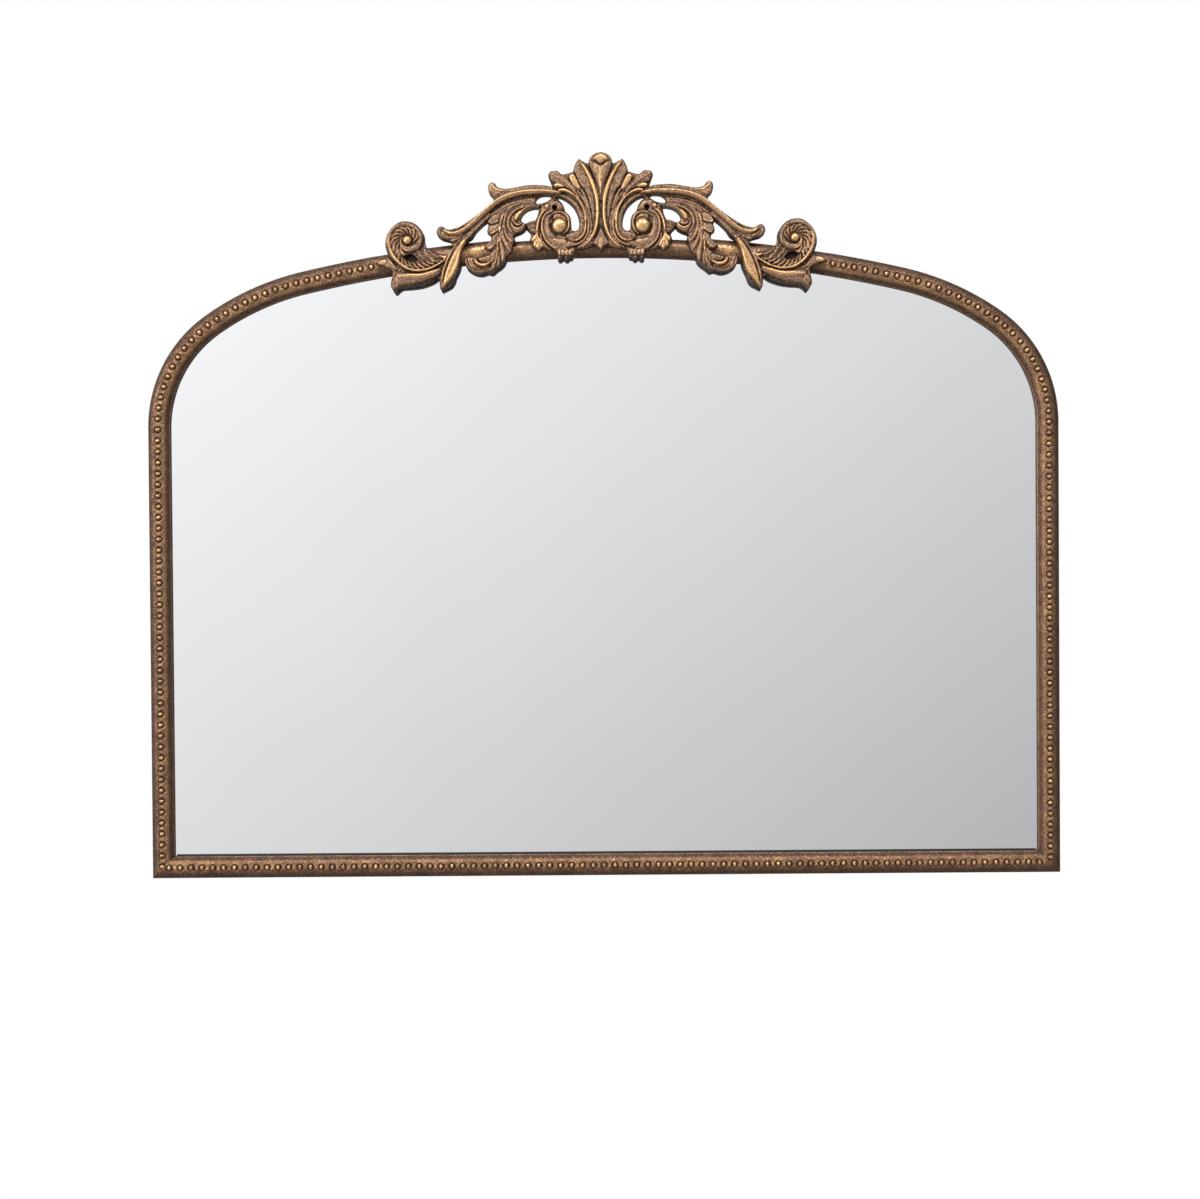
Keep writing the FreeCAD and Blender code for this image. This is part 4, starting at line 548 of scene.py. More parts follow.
# Noise as (detail, roughness)
even_noise, soft_noise, rough_noise = (1.0, 0.5), (2.0, 0.5), (4.0, 0.6)

# Bronze: how much blotches and grit change the rub, and what the rub does to the metal and to the roughness, which go
# between two rubs from one value to another
blotch_strength, grit_strength = 0.5, 1.0
metal_rub, wash_metal_share = (0.1, 0.7), 0.4
bronze_roughness = (0.1, 0.9, 0.6, 0.27)
bronze_bump_mm, bronze_bump_strength = 0.3, 0.6
bronze_gloss, bronze_tint = 0.32, "#e6d2c0"

# Plain finishes: where the grain turns from dark to light, how much it changes the roughness, and its bump
grain_dark, grain_light = 0.3, 0.7
grain_roughness = 0.08
grain_bump_strength = 0.5

# Silvered glass
glass_haze_mm, glass_roughness = 150.0, 0.015


def antiqued_bronze(name, wash, blotch_mm, grit_mm, metal_share):
    """Bronze lacquer, antiqued with a dark wash and rubbed to gold on the high spots.
    Its attribute of rub and shading says how high a spot stands, the wash low and the gold high, and it also carries
    painted highlights and painted shade. The real grit is about 0.3 mm; it is drawn coarser, because a pixel of the
    picture is 1 mm wide."""
    material = bpy.data.materials.new(name)
    tree = empty_tree(material)
    rub = add_node(tree, "ShaderNodeAttribute", attribute_name="rub").outputs["Fac"]
    grit = add_noise(tree, grit_mm, soft_noise)
    blotches = add_noise(tree, blotch_mm, rough_noise)
    uneven = add_maths(tree, "MULTIPLY_ADD", blotches, blotch_strength, -blotch_strength / 2)
    speckle = add_maths(tree, "MULTIPLY_ADD", grit, grit_strength, -grit_strength / 2)
    worn = add_maths(tree, "ADD", add_maths(tree, "ADD", rub, uneven), speckle, use_clamp=True)
    # The wax in the wash dulls the lacquer, and browns what it reflects at the edges
    close_tree(tree, {
        "Base Color": add_ramp(tree, worn, wash),
        "Metallic": add_range(tree, worn, *metal_rub, metal_share * wash_metal_share, metal_share),
        "Roughness": add_range(tree, worn, *bronze_roughness),
        "Normal": add_bump(tree, grit, bronze_bump_mm, bronze_bump_strength),
        "Specular IOR Level": bronze_gloss, "Specular Tint": linear(bronze_tint)})
    return material


def plain_finish(name, light, dark, grain_mm, roughness, bump_mm, metallic=0.0):
    """A finish of one colour broken by a grain, with its bump."""
    material = bpy.data.materials.new(name)
    tree = empty_tree(material)
    grain = add_noise(tree, grain_mm, rough_noise)
    close_tree(tree, {
        "Base Color": add_ramp(tree, grain, [(grain_dark, dark), (grain_light, light)]), "Metallic": metallic,
        "Roughness": add_range(tree, grain, 0.0, 1.0, roughness - grain_roughness, roughness + grain_roughness),
        "Normal": add_bump(tree, grain, bump_mm, grain_bump_strength)})
    return material


def silvered_glass():
    """Silvered float glass: a clean cold reflection, with a trace of green in the glass."""
    material = bpy.data.materials.new("silvered_float_glass")
    tree = empty_tree(material)
    haze = add_ramp(tree, add_noise(tree, glass_haze_mm, even_noise), [(0.2, "#f4f5f7"), (0.8, "#f6f7f8")])
    close_tree(tree, {"Base Color": haze, "Metallic": 1.0, "Roughness": glass_roughness})
    return material


# Rolled steel sprayed with bronze lacquer: sandy and half metallic, brown with gold where a hand has rubbed it, and
# with the painted highlights and shade that its rub carries
steel_bronze = antiqued_bronze(
    "antiqued_bronze_on_steel",
    [(0.02, "#1f150e"), (0.25, "#412e22"), (0.46, "#5b4436"), (0.7, "#84644b"), (0.95, "#cda26e")],
    blotch_mm=11.0, grit_mm=1.7, metal_share=0.62)
# Cast resin under the same lacquer: darker in its recesses, with the wash and with painted shade, warmer gold on
# its crests
resin_bronze = antiqued_bronze(
    "antiqued_bronze_on_resin",
    [(0.02, "#170f0a"), (0.22, "#3d2d22"), (0.45, "#785f4d"), (0.68, "#9c795b"), (0.95, "#cea36e")],
    blotch_mm=6.0, grit_mm=1.6, metal_share=0.6)
glass = silvered_glass()
# Dry-formed hardboard: matt brown with short fibres
hardboard = plain_finish("bare_hardboard", "#8a6544", "#6b4c31", grain_mm=1.8, roughness=0.8, bump_mm=0.1)
# Moulded rubber: near black and matt
rubber = plain_finish("moulded_black_rubber", "#1c1c1d", "#111112", grain_mm=0.7, roughness=0.7, bump_mm=0.05)
# Closed-cell foam strip: white and soft-looking
foam = plain_finish("white_cell_foam", "#e6e6e2", "#d2d2cc", grain_mm=0.8, roughness=0.9, bump_mm=0.1)
# Zinc-plated steel: pale grey with a satin, slightly spangled shine
zinc = plain_finish("zinc_plated_steel", "#c4c4bf", "#a2a29e", grain_mm=2.5, roughness=0.36, bump_mm=0.01, metallic=1.0)
# Plain rolled steel: darker grey with mill marks
mill_steel = plain_finish("plain_rolled_steel", "#77777a", "#5c5c5f", grain_mm=1.5, roughness=0.42, bump_mm=0.01,
                          metallic=1.0)


def placed(name, data):
    """A new object in the scene."""
    made = bpy.data.objects.new(name, data)
    bpy.context.scene.collection.objects.link(made)
    return made


def finished_object(name, mesh, material, body, replaced=(), sharp_deg=35.0):
    """Turns a mesh into a finished piece on its body."""
    mesh.materials.clear()
    mesh.materials.append(material)
    mesh.shade_smooth()
    mesh.set_sharp_from_angle(angle=math.radians(sharp_deg))
    piece = placed(name, mesh)
    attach(piece, body)
    if replaced:
        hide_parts(*replaced)


def closed_mesh(name, vertices, faces, rub, seam=None):
    """A mesh from points and faces, its faces turned outwards, with a value of rub and painted shading at each point.
    Points on the seam, which is an x, are welded."""
    mesh = bpy.data.meshes.new(name)
    mesh.from_pydata([tuple(v) for v in vertices], [], [tuple(f) for f in faces])
    layer = mesh.attributes.new("rub", "FLOAT", "POINT")
    layer.data.foreach_set("value", np.asarray(rub, dtype=np.float32))
    shell = bmesh.new()
    shell.from_mesh(mesh)
    if seam is not None:
        on_seam = [v for v in shell.verts if abs(v.co.x - seam) < crest_weld]
        bmesh.ops.remove_doubles(shell, verts=on_seam, dist=crest_weld)
    bmesh.ops.recalc_face_normals(shell, faces=shell.faces)
    shell.to_mesh(mesh)
    shell.free()
    return mesh


def swept_mesh(name, rows):
    """A closed solid from rows of (point, rub) round its section."""
    vertices = [place for row in rows for place, _ in row]
    rub = [value for row in rows for _, value in row]
    count = len(rows[0])
    ends = [tuple(range(count)), tuple(range(len(vertices) - count, len(vertices)))]
    faces = [(i + j, i + (j + 1) % count, i + count + (j + 1) % count, i + count + j)
             for i in range(0, len(vertices) - count, count) for j in range(count)]
    return closed_mesh(name, vertices, faces + ends, rub)


def roll_depth(across):
    """How far forward the rolled moulding stands at a distance in from the outline."""
    if across < ridge[0]:
        low, share, fullness = outer_wall_depth, 1 - across / ridge[0], outer_fullness
    else:
        low, fullness = inner_wall_depth, inner_fullness
        share = (across - ridge[0]) / (moulding_width - ridge[0])
    return low + (ridge[1] - low) * max(0.0, 1 - share ** fullness) ** (1 / fullness)


def section_places():
    """Distances across the front of the moulding."""
    middle = [section_middle_mm + i * section_grain_mm for i in range(section_middle_count)]
    lip = [moulding_width / MM - v for v in section_lip_mm]
    return [v * MM for v in [*section_edge_mm, *middle, *lip]]


def hidden_side(edge):
    """The inner face of the rolled sheet, from the lip at the glass round to the hem on the wall."""
    lip = [(moulding_width, lip_depth), (moulding_width - sheet, lip_depth)]
    hem = [(edge + sheet, sheet), (edge + hem_width, sheet), (edge + hem_width, 0.0), (edge, 0.0)]
    return lip + [(max(a * MM, edge + sheet), d * MM) for a, d in hidden_side_mm] + hem


def bead_surface(along, across, first, last, pitch):
    """The moulding's depth and rub at a place, the rub with its painted light and shade, with the sockets that the
    beads sit in and the cusps between.
    """
    depth = roll_depth(across)
    # The rub across the moulding sets its gold and paints its light and shade as well
    rub = float(np.interp(across / MM, rub_and_shading_across_mm, rub_and_shading_across))
    if not first - pitch < along < last + pitch:
        return depth, rub
    nearest = first + pitch * min(max(round((along - first) / pitch), 0), round((last - first) / pitch))
    reach = math.hypot(along - nearest, across - bead_inset)
    # Inside a socket the rub is low, painted shade; its rim and the cusps between sockets are painted highlights, and
    # the gap in each cusp is painted shade
    if reach < socket_radius:
        share = reach / socket_radius
        return depth - socket_depth * (1 - share ** 4), socket_shade_rub + socket_wall_shade_rub * share ** 6
    rim = math.exp(-((reach - socket_rim_radius) / socket_rim_width) ** 2)
    from_middle = abs(along - nearest) - pitch / 2
    aside = abs(across - bead_inset)
    cusp = math.exp(-(from_middle ** 2 + (aside - cusp_inset) ** 2) / cusp_radius ** 2)
    gap = math.exp(-(from_middle / cusp_gap_length) ** 2 - (aside / cusp_gap) ** 2)
    return (depth + socket_rim_height * rim + cusp_height * cusp - cusp_gap_depth * gap,
            rub + socket_rim_highlight_rub * rim + cusp_highlight_rub * cusp + cusp_gap_shade_rub * gap)


def crown_angle(x):
    """Angle from the horizontal at which the crown's outer arc is x from the middle."""
    return math.acos(x / crown_radius)


def mitre_run(across, share):
    """Distance from the corner, in a row that lies along the mitre at share 0 and square to the rail at 1."""
    return across + (mitre_zone - across) * share


def side_places():
    """Rows of the right-hand moulding, and the length of its line of beads. A row is a function of the distance in
    from the outline, that gives a point and its length along the line."""
    pace = bead_pitch / rows_to_a_pitch
    steps = round((springing_height - mitre_zone) / pace)
    rows = [lambda a, t=i / mitre_rows: (half_width - a, mitre_run(a, t), mitre_run(a, t) - bead_inset)
            for i in range(mitre_rows)]
    rows += [lambda a, h=mitre_zone + (springing_height - mitre_zone) * i / steps: (half_width - a, h, h - bead_inset)
             for i in range(steps + 1)]
    run = springing_height - bead_inset
    for centre, radius, start, end in (
            (shoulder_centre, shoulder_radius, 0.0, shoulder_turn),
            (haunch_centre, haunch_radius, shoulder_turn, crown_start),
            (crown_centre, crown_radius, crown_start, crown_angle(bar_half_length))):
        length = (radius - bead_inset) * (end - start)
        steps = max(1, round(length / pace))
        for i in range(1, steps + 1):
            rows.append(lambda a, c=centre, r=radius, t=start + (end - start) * i / steps, s=run + length * i / steps: (
                c[0] + (r - a) * math.cos(t), c[1] + (r - a) * math.sin(t), s))
        run += length
    return rows, run


def rail_places():
    """Rows of the bottom rail, from its left mitre to its right one, and the length of its line of beads."""
    inner = half_width - mitre_zone
    steps = round(2 * inner * rows_to_a_pitch / bead_pitch)
    left_mitre = [lambda a, t=i / mitre_rows: mitre_run(a, t) - half_width for i in range(mitre_rows)]
    straight = [lambda a, x=2 * inner * i / steps - inner: x for i in range(steps + 1)]
    right_mitre = [lambda a, t=i / mitre_rows: half_width - mitre_run(a, t) for i in reversed(range(mitre_rows))]
    rows = [lambda a, x_at=x_at: (x_at(a), a, x_at(a) + half_width - bead_inset)
            for x_at in left_mitre + straight + right_mitre]
    return rows, 2 * (half_width - bead_inset)


def beaded_mesh(name, places, run, flip):
    """A beaded moulding: rows of points with the sockets pressed in."""
    rows = []
    for place in places:
        row = [(place(across), *bead_surface(place(across)[2], across, *run)) for across in section_places()]
        row += [(place(across), depth, hidden_rub) for across, depth in hidden_side(0.0)]
        rows.append([(point(-x if flip else x, depth, height), rub) for (x, height, _), depth, rub in row])
    return swept_mesh(name, rows)


def bead_run(length, first, last_gap):
    """First bead, last bead and pitch of a row of beads along a moulding."""
    last = length - last_gap
    return first, last, (last - first) / round((last - first) / bead_pitch)


def bead_line(places, first, last, flip):
    """Points of the line that the beads stand on, from the first bead to the last."""
    line = [place(bead_inset) for place in places]
    points = [(s, x, z) for x, z, s in line if first < s < last]
    for (ax, az, a), (bx, bz, b) in zip(line, line[1:]):
        for at in (first, last):
            if a <= at < b:
                share = (at - a) / (b - a)
                points.append((at, ax + (bx - ax) * share, az + (bz - az) * share))
    return [point(-x if flip else x, bead_seat, z) for _, x, z in sorted(points)]


def bar_section(edge):
    """Section of the plain bar, half round, with its outer edge set in from the outline."""
    middle, reach = (edge + moulding_width) / 2, (moulding_width - edge) / 2
    section = []
    for i in range(bar_round_steps + 1):
        angle = math.pi * i / bar_round_steps
        across = middle - reach * math.cos(angle)
        low = outer_wall_depth if across < middle else inner_wall_depth
        # Rub is low at the edges and high on the crown: gold on the crown, and painted shading of the round
        section.append((across, low + (bar_top_depth - low) * math.sin(angle),
                        bar_edge_shade_rub + bar_crown_rub_and_highlight * math.sin(angle) ** 1.6))
    return section + [(across, depth, hidden_rub) for across, depth in hidden_side(edge)]


def plain_bar_mesh():
    """The half-round bar under the crest. Its outer edge is set in only in its waist, under the crest's middle."""
    start, end = crown_angle(bar_half_length), math.pi - crown_angle(bar_half_length)
    steps = round(crown_radius * (end - start) / bar_row_pace)
    rows = []
    for i in range(steps + 1):
        angle = start + (end - start) * i / steps
        aside = abs(crown_radius * math.cos(angle))
        # A painted highlight, where the rub is raised on each side of the middle
        painted_highlight = highlight_patch_gold * math.exp(-((aside - highlight_patch_aside) / highlight_patch_reach) ** 2)
        share = min(max((bar_waist - aside) / bar_edge_run, 0.0), 1.0)
        rows.append([(point((crown_radius - a) * math.cos(angle), d,
                            crown_centre[1] + (crown_radius - a) * math.sin(angle)), rub * (1 + painted_highlight))
                     for a, d, rub in bar_section(bar_edge * share * share * (3 - 2 * share))])
    return swept_mesh("plain_bar", rows)


def beading_tree():
    """Geometry nodes that set a row of beads along a line."""
    tree = bpy.data.node_groups.new("beading", "GeometryNodeTree")
    for name, kind in (("Line", "Geometry"), ("Bead Count", "Int"), ("Bead Size", "Vector"), ("Finish", "Material")):
        tree.interface.new_socket(name, in_out="INPUT", socket_type="NodeSocket" + kind)
    tree.interface.new_socket("Beads", in_out="OUTPUT", socket_type="NodeSocketGeometry")
    given = add_node(tree, "NodeGroupInput").outputs
    curve = add_node(tree, "GeometryNodeMeshToCurve", {"Mesh": given["Line"]}).outputs["Curve"]
    spaced = add_node(tree, "GeometryNodeResampleCurve", {"Curve": curve, "Count": given["Bead Count"]})
    tangent = add_node(tree, "GeometryNodeInputTangent").outputs["Tangent"]
    upright = add_node(tree, "FunctionNodeEulerToRotation", {"Euler": (math.pi / 2, 0.0, 0.0)}).outputs["Rotation"]
    turned = add_node(tree, "FunctionNodeAlignRotationToVector", {"Rotation": upright, "Vector": tangent},
                      axis="X", pivot_axis="Z").outputs["Rotation"]
    radius = add_node(tree, "ShaderNodeVectorMath", {0: given["Bead Size"], 1: (0.5, 0.5, 0.5)},
                      operation="MULTIPLY").outputs[0]
    ball = add_node(tree, "GeometryNodeMeshUVSphere", {"Segments": 10, "Rings": 6, "Radius": 1.0}).outputs["Mesh"]
    place = add_node(tree, "GeometryNodeInputPosition").outputs["Position"]
    height = add_node(tree, "ShaderNodeSeparateXYZ", {0: place}).outputs["Z"]
    # The rub rises with the bead's height: gold on its crown, and darker at its foot as painted shade
    marked = add_node(tree, "GeometryNodeStoreNamedAttribute", {
        "Geometry": ball, "Name": "rub", "Value": add_range(tree, height, *bead_rub_and_shade)},
        data_type="FLOAT", domain="POINT").outputs["Geometry"]
    bead = add_node(tree, "GeometryNodeTransform", {"Geometry": marked, "Scale": radius}).outputs["Geometry"]
    row = add_node(tree, "GeometryNodeInstanceOnPoints", {
        "Points": spaced.outputs["Curve"], "Instance": bead, "Rotation": turned})
    solid = add_node(tree, "GeometryNodeRealizeInstances", {"Geometry": row.outputs["Instances"]})
    finish = add_node(tree, "GeometryNodeSetMaterial", {
        "Geometry": solid.outputs["Geometry"], "Material": given["Finish"]})
    add_node(tree, "NodeGroupOutput", {"Beads": finish.outputs["Geometry"]})
    return tree


def made_by_nodes(name, line_mesh, tree, values):
    """Runs a geometry node tree on a helper mesh and returns the plain mesh that it makes."""
    helper = placed(name + "_line", line_mesh)
    modifier = helper.modifiers.new(name, "NODES")
    modifier.node_group = tree
    for item in tree.interface.items_tree:
        if item.in_out == "INPUT" and item.name in values:
            modifier[item.identifier] = values[item.name]
    graph = bpy.context.evaluated_depsgraph_get()
    mesh = bpy.data.meshes.new_from_object(helper.evaluated_get(graph), preserve_all_data_layers=True,
                                           depsgraph=graph)
    mesh.name = name
    helper.modifiers.clear()
    bpy.data.objects.remove(helper)
    return mesh


def make_mouldings():
    """The two beaded sides and the beaded rail, each with its row of beads, and the plain bar."""
    side, rail = side_places(), rail_places()
    tree = beading_tree()
    for name, node, (places, length), ends, flip in (
            ("side_right", "side_moulding_right", side, right_side_beads, False),
            ("side_left", "side_moulding_left", side, left_side_beads, True),
            ("rail", "bottom_rail", rail, rail_beads, False)):
        first, last, pitch = run = bead_run(length, *ends)
        mesh = beaded_mesh("beaded_" + name, places, run, flip)
        finished_object("beaded_" + name, mesh, steel_bronze, "mirror", [node])
        line = bead_line(places, first, last, flip)
        path = bpy.data.meshes.new(name + "_path")
        path.from_pydata(line, [(i, i + 1) for i in range(len(line) - 1)], [])
        beads = made_by_nodes("beads_" + name, path, tree, {
            "Bead Count": round((last - first) / pitch) + 1, "Bead Size": bead_size, "Finish": steel_bronze})
        finished_object("beads_" + name, beads, steel_bronze, "mirror", sharp_deg=80.0)
    finished_object("plain_bar", plain_bar_mesh(), steel_bronze, "mirror", ["top_bar"])


def smooth_line(stations, pace):
    """A Catmull-Rom curve through stations of any size, one point to each pace along it."""
    stations = np.array(stations, dtype=float)
    padded = np.vstack([2 * stations[0] - stations[1], stations, 2 * stations[-1] - stations[-2]])
    points = [stations[0]]
    for before, start, end, after in zip(padded, padded[1:], padded[2:], padded[3:]):
        steps = max(1, int(math.hypot(*(end - start)[:2]) / pace))
        for t in np.arange(1, steps + 1) / steps:
            points.append(0.5 * (2 * start + (end - before) * t + (2 * before - 5 * start + 4 * end - after) * t ** 2
                                 + (3 * start - before - 3 * end + after) * t ** 3))
    return np.array(points)


def pairs(loop):
    """Each point of a closed loop with the next."""
    return zip(loop, loop[1:] + loop[:1])


def segment_distance(x, y, start, end):
    """Distance of points from a segment, and how far along it each is nearest, as a share."""
    across, down = end[0] - start[0], end[1] - start[1]
    along = ((x - start[0]) * across + (y - start[1]) * down) / (across * across + down * down + tiny)
    along = np.clip(along, 0, 1)
    return np.hypot(x - start[0] - along * across, y - start[1] - along * down), along


def raster_window(low, high):
    """The part of the raster that covers a box: its slices, and the x and y of its points."""
    spans = [slice(max(0, int((near - start) / crest_grain_px)), int((far - start) / crest_grain_px) + 2)
             for near, far, start in zip(low, high, (crest_left_px, crest_top_py))]
    return (spans[1], spans[0]), *np.meshgrid(raster_x[spans[0]], raster_y[spans[1]])


def reach_of(stations):
    """Distance of each raster point from a smooth line, as a share of the line's half width there."""
    reach = np.full(raster_shape, np.inf)
    line = smooth_line(stations, stroke_pace_px)
    line[:, 2] = np.maximum(line[:, 2], least_half_width_px)
    for start, end in zip(line, line[1:]):
        wide = max(start[2], end[2]) + stroke_margin_px
        window, x, y = raster_window(np.minimum(start, end) - wide, np.maximum(start, end) + wide)
        distance, along = segment_distance(x, y, start, end)
        reach[window] = np.minimum(reach[window], distance / (start[2] + along * (end[2] - start[2])))
    return reach


def dome(share):
    """Height of a round profile at a share of the way from its middle to its edge."""
    return np.sqrt(np.clip(1 - share ** 2, 0, 1))


def cut_moat(relief, rub, where, fade, moat):
    """Cuts the dark line round a laid piece, deepest where the fade is 1, and darkens its rub there as painted shade.
    """
    relief[where] -= moat[1] * fade
    rub[where] *= 1 - moat[2] * fade


def reach_in_moat(relief, rub, stations, moat):
    """Cuts the dark line along both sides of a line; returns the line's reach and where the line covers."""
    reach = reach_of(stations)
    rim = 1 + moat[0] / max(width for _, _, width in stations)
    where = (reach > 1) & (reach < rim)
    cut_moat(relief, rub, where, (rim - reach[where]) / (rim - 1), moat)
    return reach[reach <= 1], reach <= 1


def lay_rod(relief, rub, rise, crown, gold, stations):
    """Lays a rod over the relief."""
    reach, inside = reach_in_moat(relief, rub, stations, rod_moat)
    relief[inside] = rise + crown * dome(reach)
    rub[inside] = gold * (rod_gold[0] + rod_gold[1] * dome(reach))


def lay_leaf(relief, rub, rise, crown, gold, points):
    """Lays a leaf with a rounded edge over the relief."""
    loop = crest_loop(points, True)
    window, x, y = raster_window(np.min(loop, axis=0) - stroke_margin_px, np.max(loop, axis=0) + stroke_margin_px)
    places = np.column_stack([x.ravel(), y.ravel()])
    inside = inside_loop(places, loop).reshape(x.shape)
    away = loop_distance(places, [loop]).reshape(x.shape)
    edge = ~inside & (away < leaf_moat[0])
    cut_moat(relief[window], rub[window], edge, 1 - away[edge] / leaf_moat[0], leaf_moat)
    swell = dome(1 - np.clip(away / leaf_round_px, 0, 1))
    relief[window][inside] = (rise + crown * swell)[inside]
    rub[window][inside] = (gold * (leaf_gold[0] + leaf_gold[1] * np.clip(away / leaf_gold_px, 0, 1)))[inside]


def raise_rib(relief, rub, lift, gold, stations):
    """Raises a rubbed rib on the relief."""
    reach, inside = reach_in_moat(relief, rub, stations, rib_moat)
    swell = 1 - reach ** 2
    relief[inside] += lift * swell
    rub[inside] += (rib_gold * gold - rub[inside]) * np.minimum(1, rib_gold_rise * swell)


def cut_groove(relief, rub, depth, stations):
    """Cuts a line into the relief, and darkens its rub with its depth as painted shade."""
    reach = reach_of(stations)
    inside = reach <= 1
    swell = 1 - reach[inside] ** 2
    relief[inside] -= depth * swell
    rub[inside] *= 1 - min(groove_shade_most, groove_shade_to_depth * depth) * swell


def lay_flutes(relief, rub, rise, crown, gold, tail_ends):
    """Lays the flutes of the outer volute round its eye and along its tail."""
    flutes = []
    for i in range(flute_count):
        turned = flute_sweep * i / (flute_count - 1)
        flutes.append([(volute_eye_px[0] + reach * math.cos(turn + turned),
                        volute_eye_px[1] + reach * math.sin(turn + turned), width)
                       for reach, turn, width in zip(flute_reaches_px, flute_turns, flute_half_widths_px)])
    for start, end in zip(tail_ends[::2], tail_ends[1::2]):
        middle = [(a + b) / 2 + sag for a, b, sag in zip(start, end, tail_flute_sag_px)]
        flutes.append([(*place, width) for place, width in zip((start, middle, end), tail_flute_half_widths_px)])
    for flute in flutes:
        lay_rod(relief, rub, rise, crown, gold, flute)


def blurred(field, radius_px):
    """The field after a Gaussian blur of that radius."""
    size = int(3 * radius_px / crest_grain_px)
    kernel = np.exp(-0.5 * (np.arange(-size, size + 1) * crest_grain_px / radius_px) ** 2)
    kernel /= kernel.sum()
    padded = np.pad(field, size, mode="edge")
    rows = np.apply_along_axis(np.convolve, 1, padded, kernel, mode="valid")
    return np.apply_along_axis(np.convolve, 0, rows, kernel, mode="valid")


def crest_relief():
    """The carving of the crest's left half as fields of height and of rub, the rub with its painted light and shade."""
    carvers = {"leaf": lay_leaf, "rod": lay_rod, "rib": raise_rib, "groove": cut_groove, "flutes": lay_flutes}
    relief, rub = [np.full(raster_shape, level) for level in ground_level]
    for line in crest_carving.replace("\n    ", " ").strip().splitlines():
        if not line.startswith("#"):
            kind, _, levels, places = line.split(" | ")
            carvers[kind](relief, rub, *[float(v) for v in levels.split()], numbers(places))
    x, y = np.meshgrid(raster_x, raster_y)
    for px, py, radius, rise in crest_balls_px:
        share = np.hypot(x - px, y - py) / radius
        cut_moat(relief, rub, (share > 1) & (share < 1 + ball_moat[0] / radius), 1.0, ball_moat)
        inside = share <= 1
        relief[inside] = rise * (ball_foot_share + (1 - ball_foot_share) * dome(share[inside]))
        rub[inside] = ball_gold[0] + ball_gold[1] * dome(share[inside])
    # The pit is painted black as shade
    pit = np.hypot(x - crest_pit_px[0], y - crest_pit_px[1]) < crest_pit_px[2]
    relief[pit], rub[pit] = pit_floor, 0.0
    return np.clip(blurred(relief, carving_blur_px), *relief_limits), blurred(rub, carving_blur_px)


def crest_loop(points, closed):
    """The outline or an opening as a smooth loop that keeps its sharp corners, as pixel points."""
    count = len(points)
    corners = {0} if closed else {0, count - 1}
    for i in range(0 if closed else 1, count - 1 + closed):
        before = Vector(points[i]) - Vector(points[i - 1])
        after = Vector(points[(i + 1) % count]) - Vector(points[i])
        if before.angle(after) > corner_turn:
            corners.add(i)
    corners = sorted(corners)
    if closed:
        points = points + points[:1]
        corners.append(count)
    loop = []
    for start, end in zip(corners, corners[1:]):
        loop += [tuple(p) for p in smooth_line(points[start:end + 1], outline_pace_px)[:-1]]
    if closed:
        return loop
    axis = np.arange(points[-1][1] - crest_grain_px, points[0][1] + crest_grain_px / 2, -crest_grain_px)
    return loop + [points[-1]] + [(crest_axis_px, float(py)) for py in axis]


def front_edge(loop, opening):
    """Moves the traced edges to the casting's front. The picture shows the underside below edges that face down,
    over the glass their reflection too, and the wall beside edges that face the middle."""
    moved = []
    area = sum(a[0] * b[1] - b[0] * a[1] for a, b in pairs(loop))
    turn = 1 if (area > 0) != opening else -1
    for (px, py), before, after in zip(loop, loop[-1:] + loop[:-1], loop[1:] + loop[:1]):
        if px <= off_axis_px:
            across, down = after[0] - before[0], after[1] - before[1]
            length = math.hypot(across, down) or 1.0
            rise = np.interp(py, glass_edge_py, lower_edge_rise_px) * max(0.0, -turn * across / length)
            px -= side_wall_share * (crest_axis_px - px) * max(0.0, turn * down / length)
            py -= rise
        moved.append((px, float(py)))
    return moved


def sampled(field, points):
    """Values of a raster field at pixel points."""
    columns = np.clip((points[:, 0] - crest_left_px) / crest_grain_px, 0, raster_shape[1] - 1.001)
    rows = np.clip((points[:, 1] - crest_top_py) / crest_grain_px, 0, raster_shape[0] - 1.001)
    c, r = columns.astype(int), rows.astype(int)
    fc, fr = columns - c, rows - r
    return ((field[r, c] * (1 - fc) + field[r, c + 1] * fc) * (1 - fr)
            + (field[r + 1, c] * (1 - fc) + field[r + 1, c + 1] * fc) * fr)


def loop_distance(points, loops):
    """Distance in pixels from each point to the nearest loop, leaving out the axis."""
    nearest = np.full(len(points), np.inf)
    for loop in loops:
        for start, end in pairs(loop):
            if min(start[0], end[0]) <= off_axis_px:
                nearest = np.minimum(nearest, segment_distance(points[:, 0], points[:, 1], start, end)[0])
    return nearest


def inside_loop(points, loop):
    """Whether each point lies inside a loop."""
    inside = np.zeros(len(points), dtype=bool)
    for (ax, ay), (bx, by) in pairs(loop):
        crosses = (ay > points[:, 1]) != (by > points[:, 1])
        with np.errstate(divide="ignore", invalid="ignore"):
            at = (bx - ax) * (points[:, 1] - ay) / (by - ay) + ax
        inside ^= crosses & (points[:, 0] < at)
    return inside


def in_the_metal(points, loops):
    """Whether each point lies inside the outline and in none of the openings."""
    inside = inside_loop(points, loops[0])
    for opening in loops[1:]:
        inside &= ~inside_loop(points, opening)
    return inside


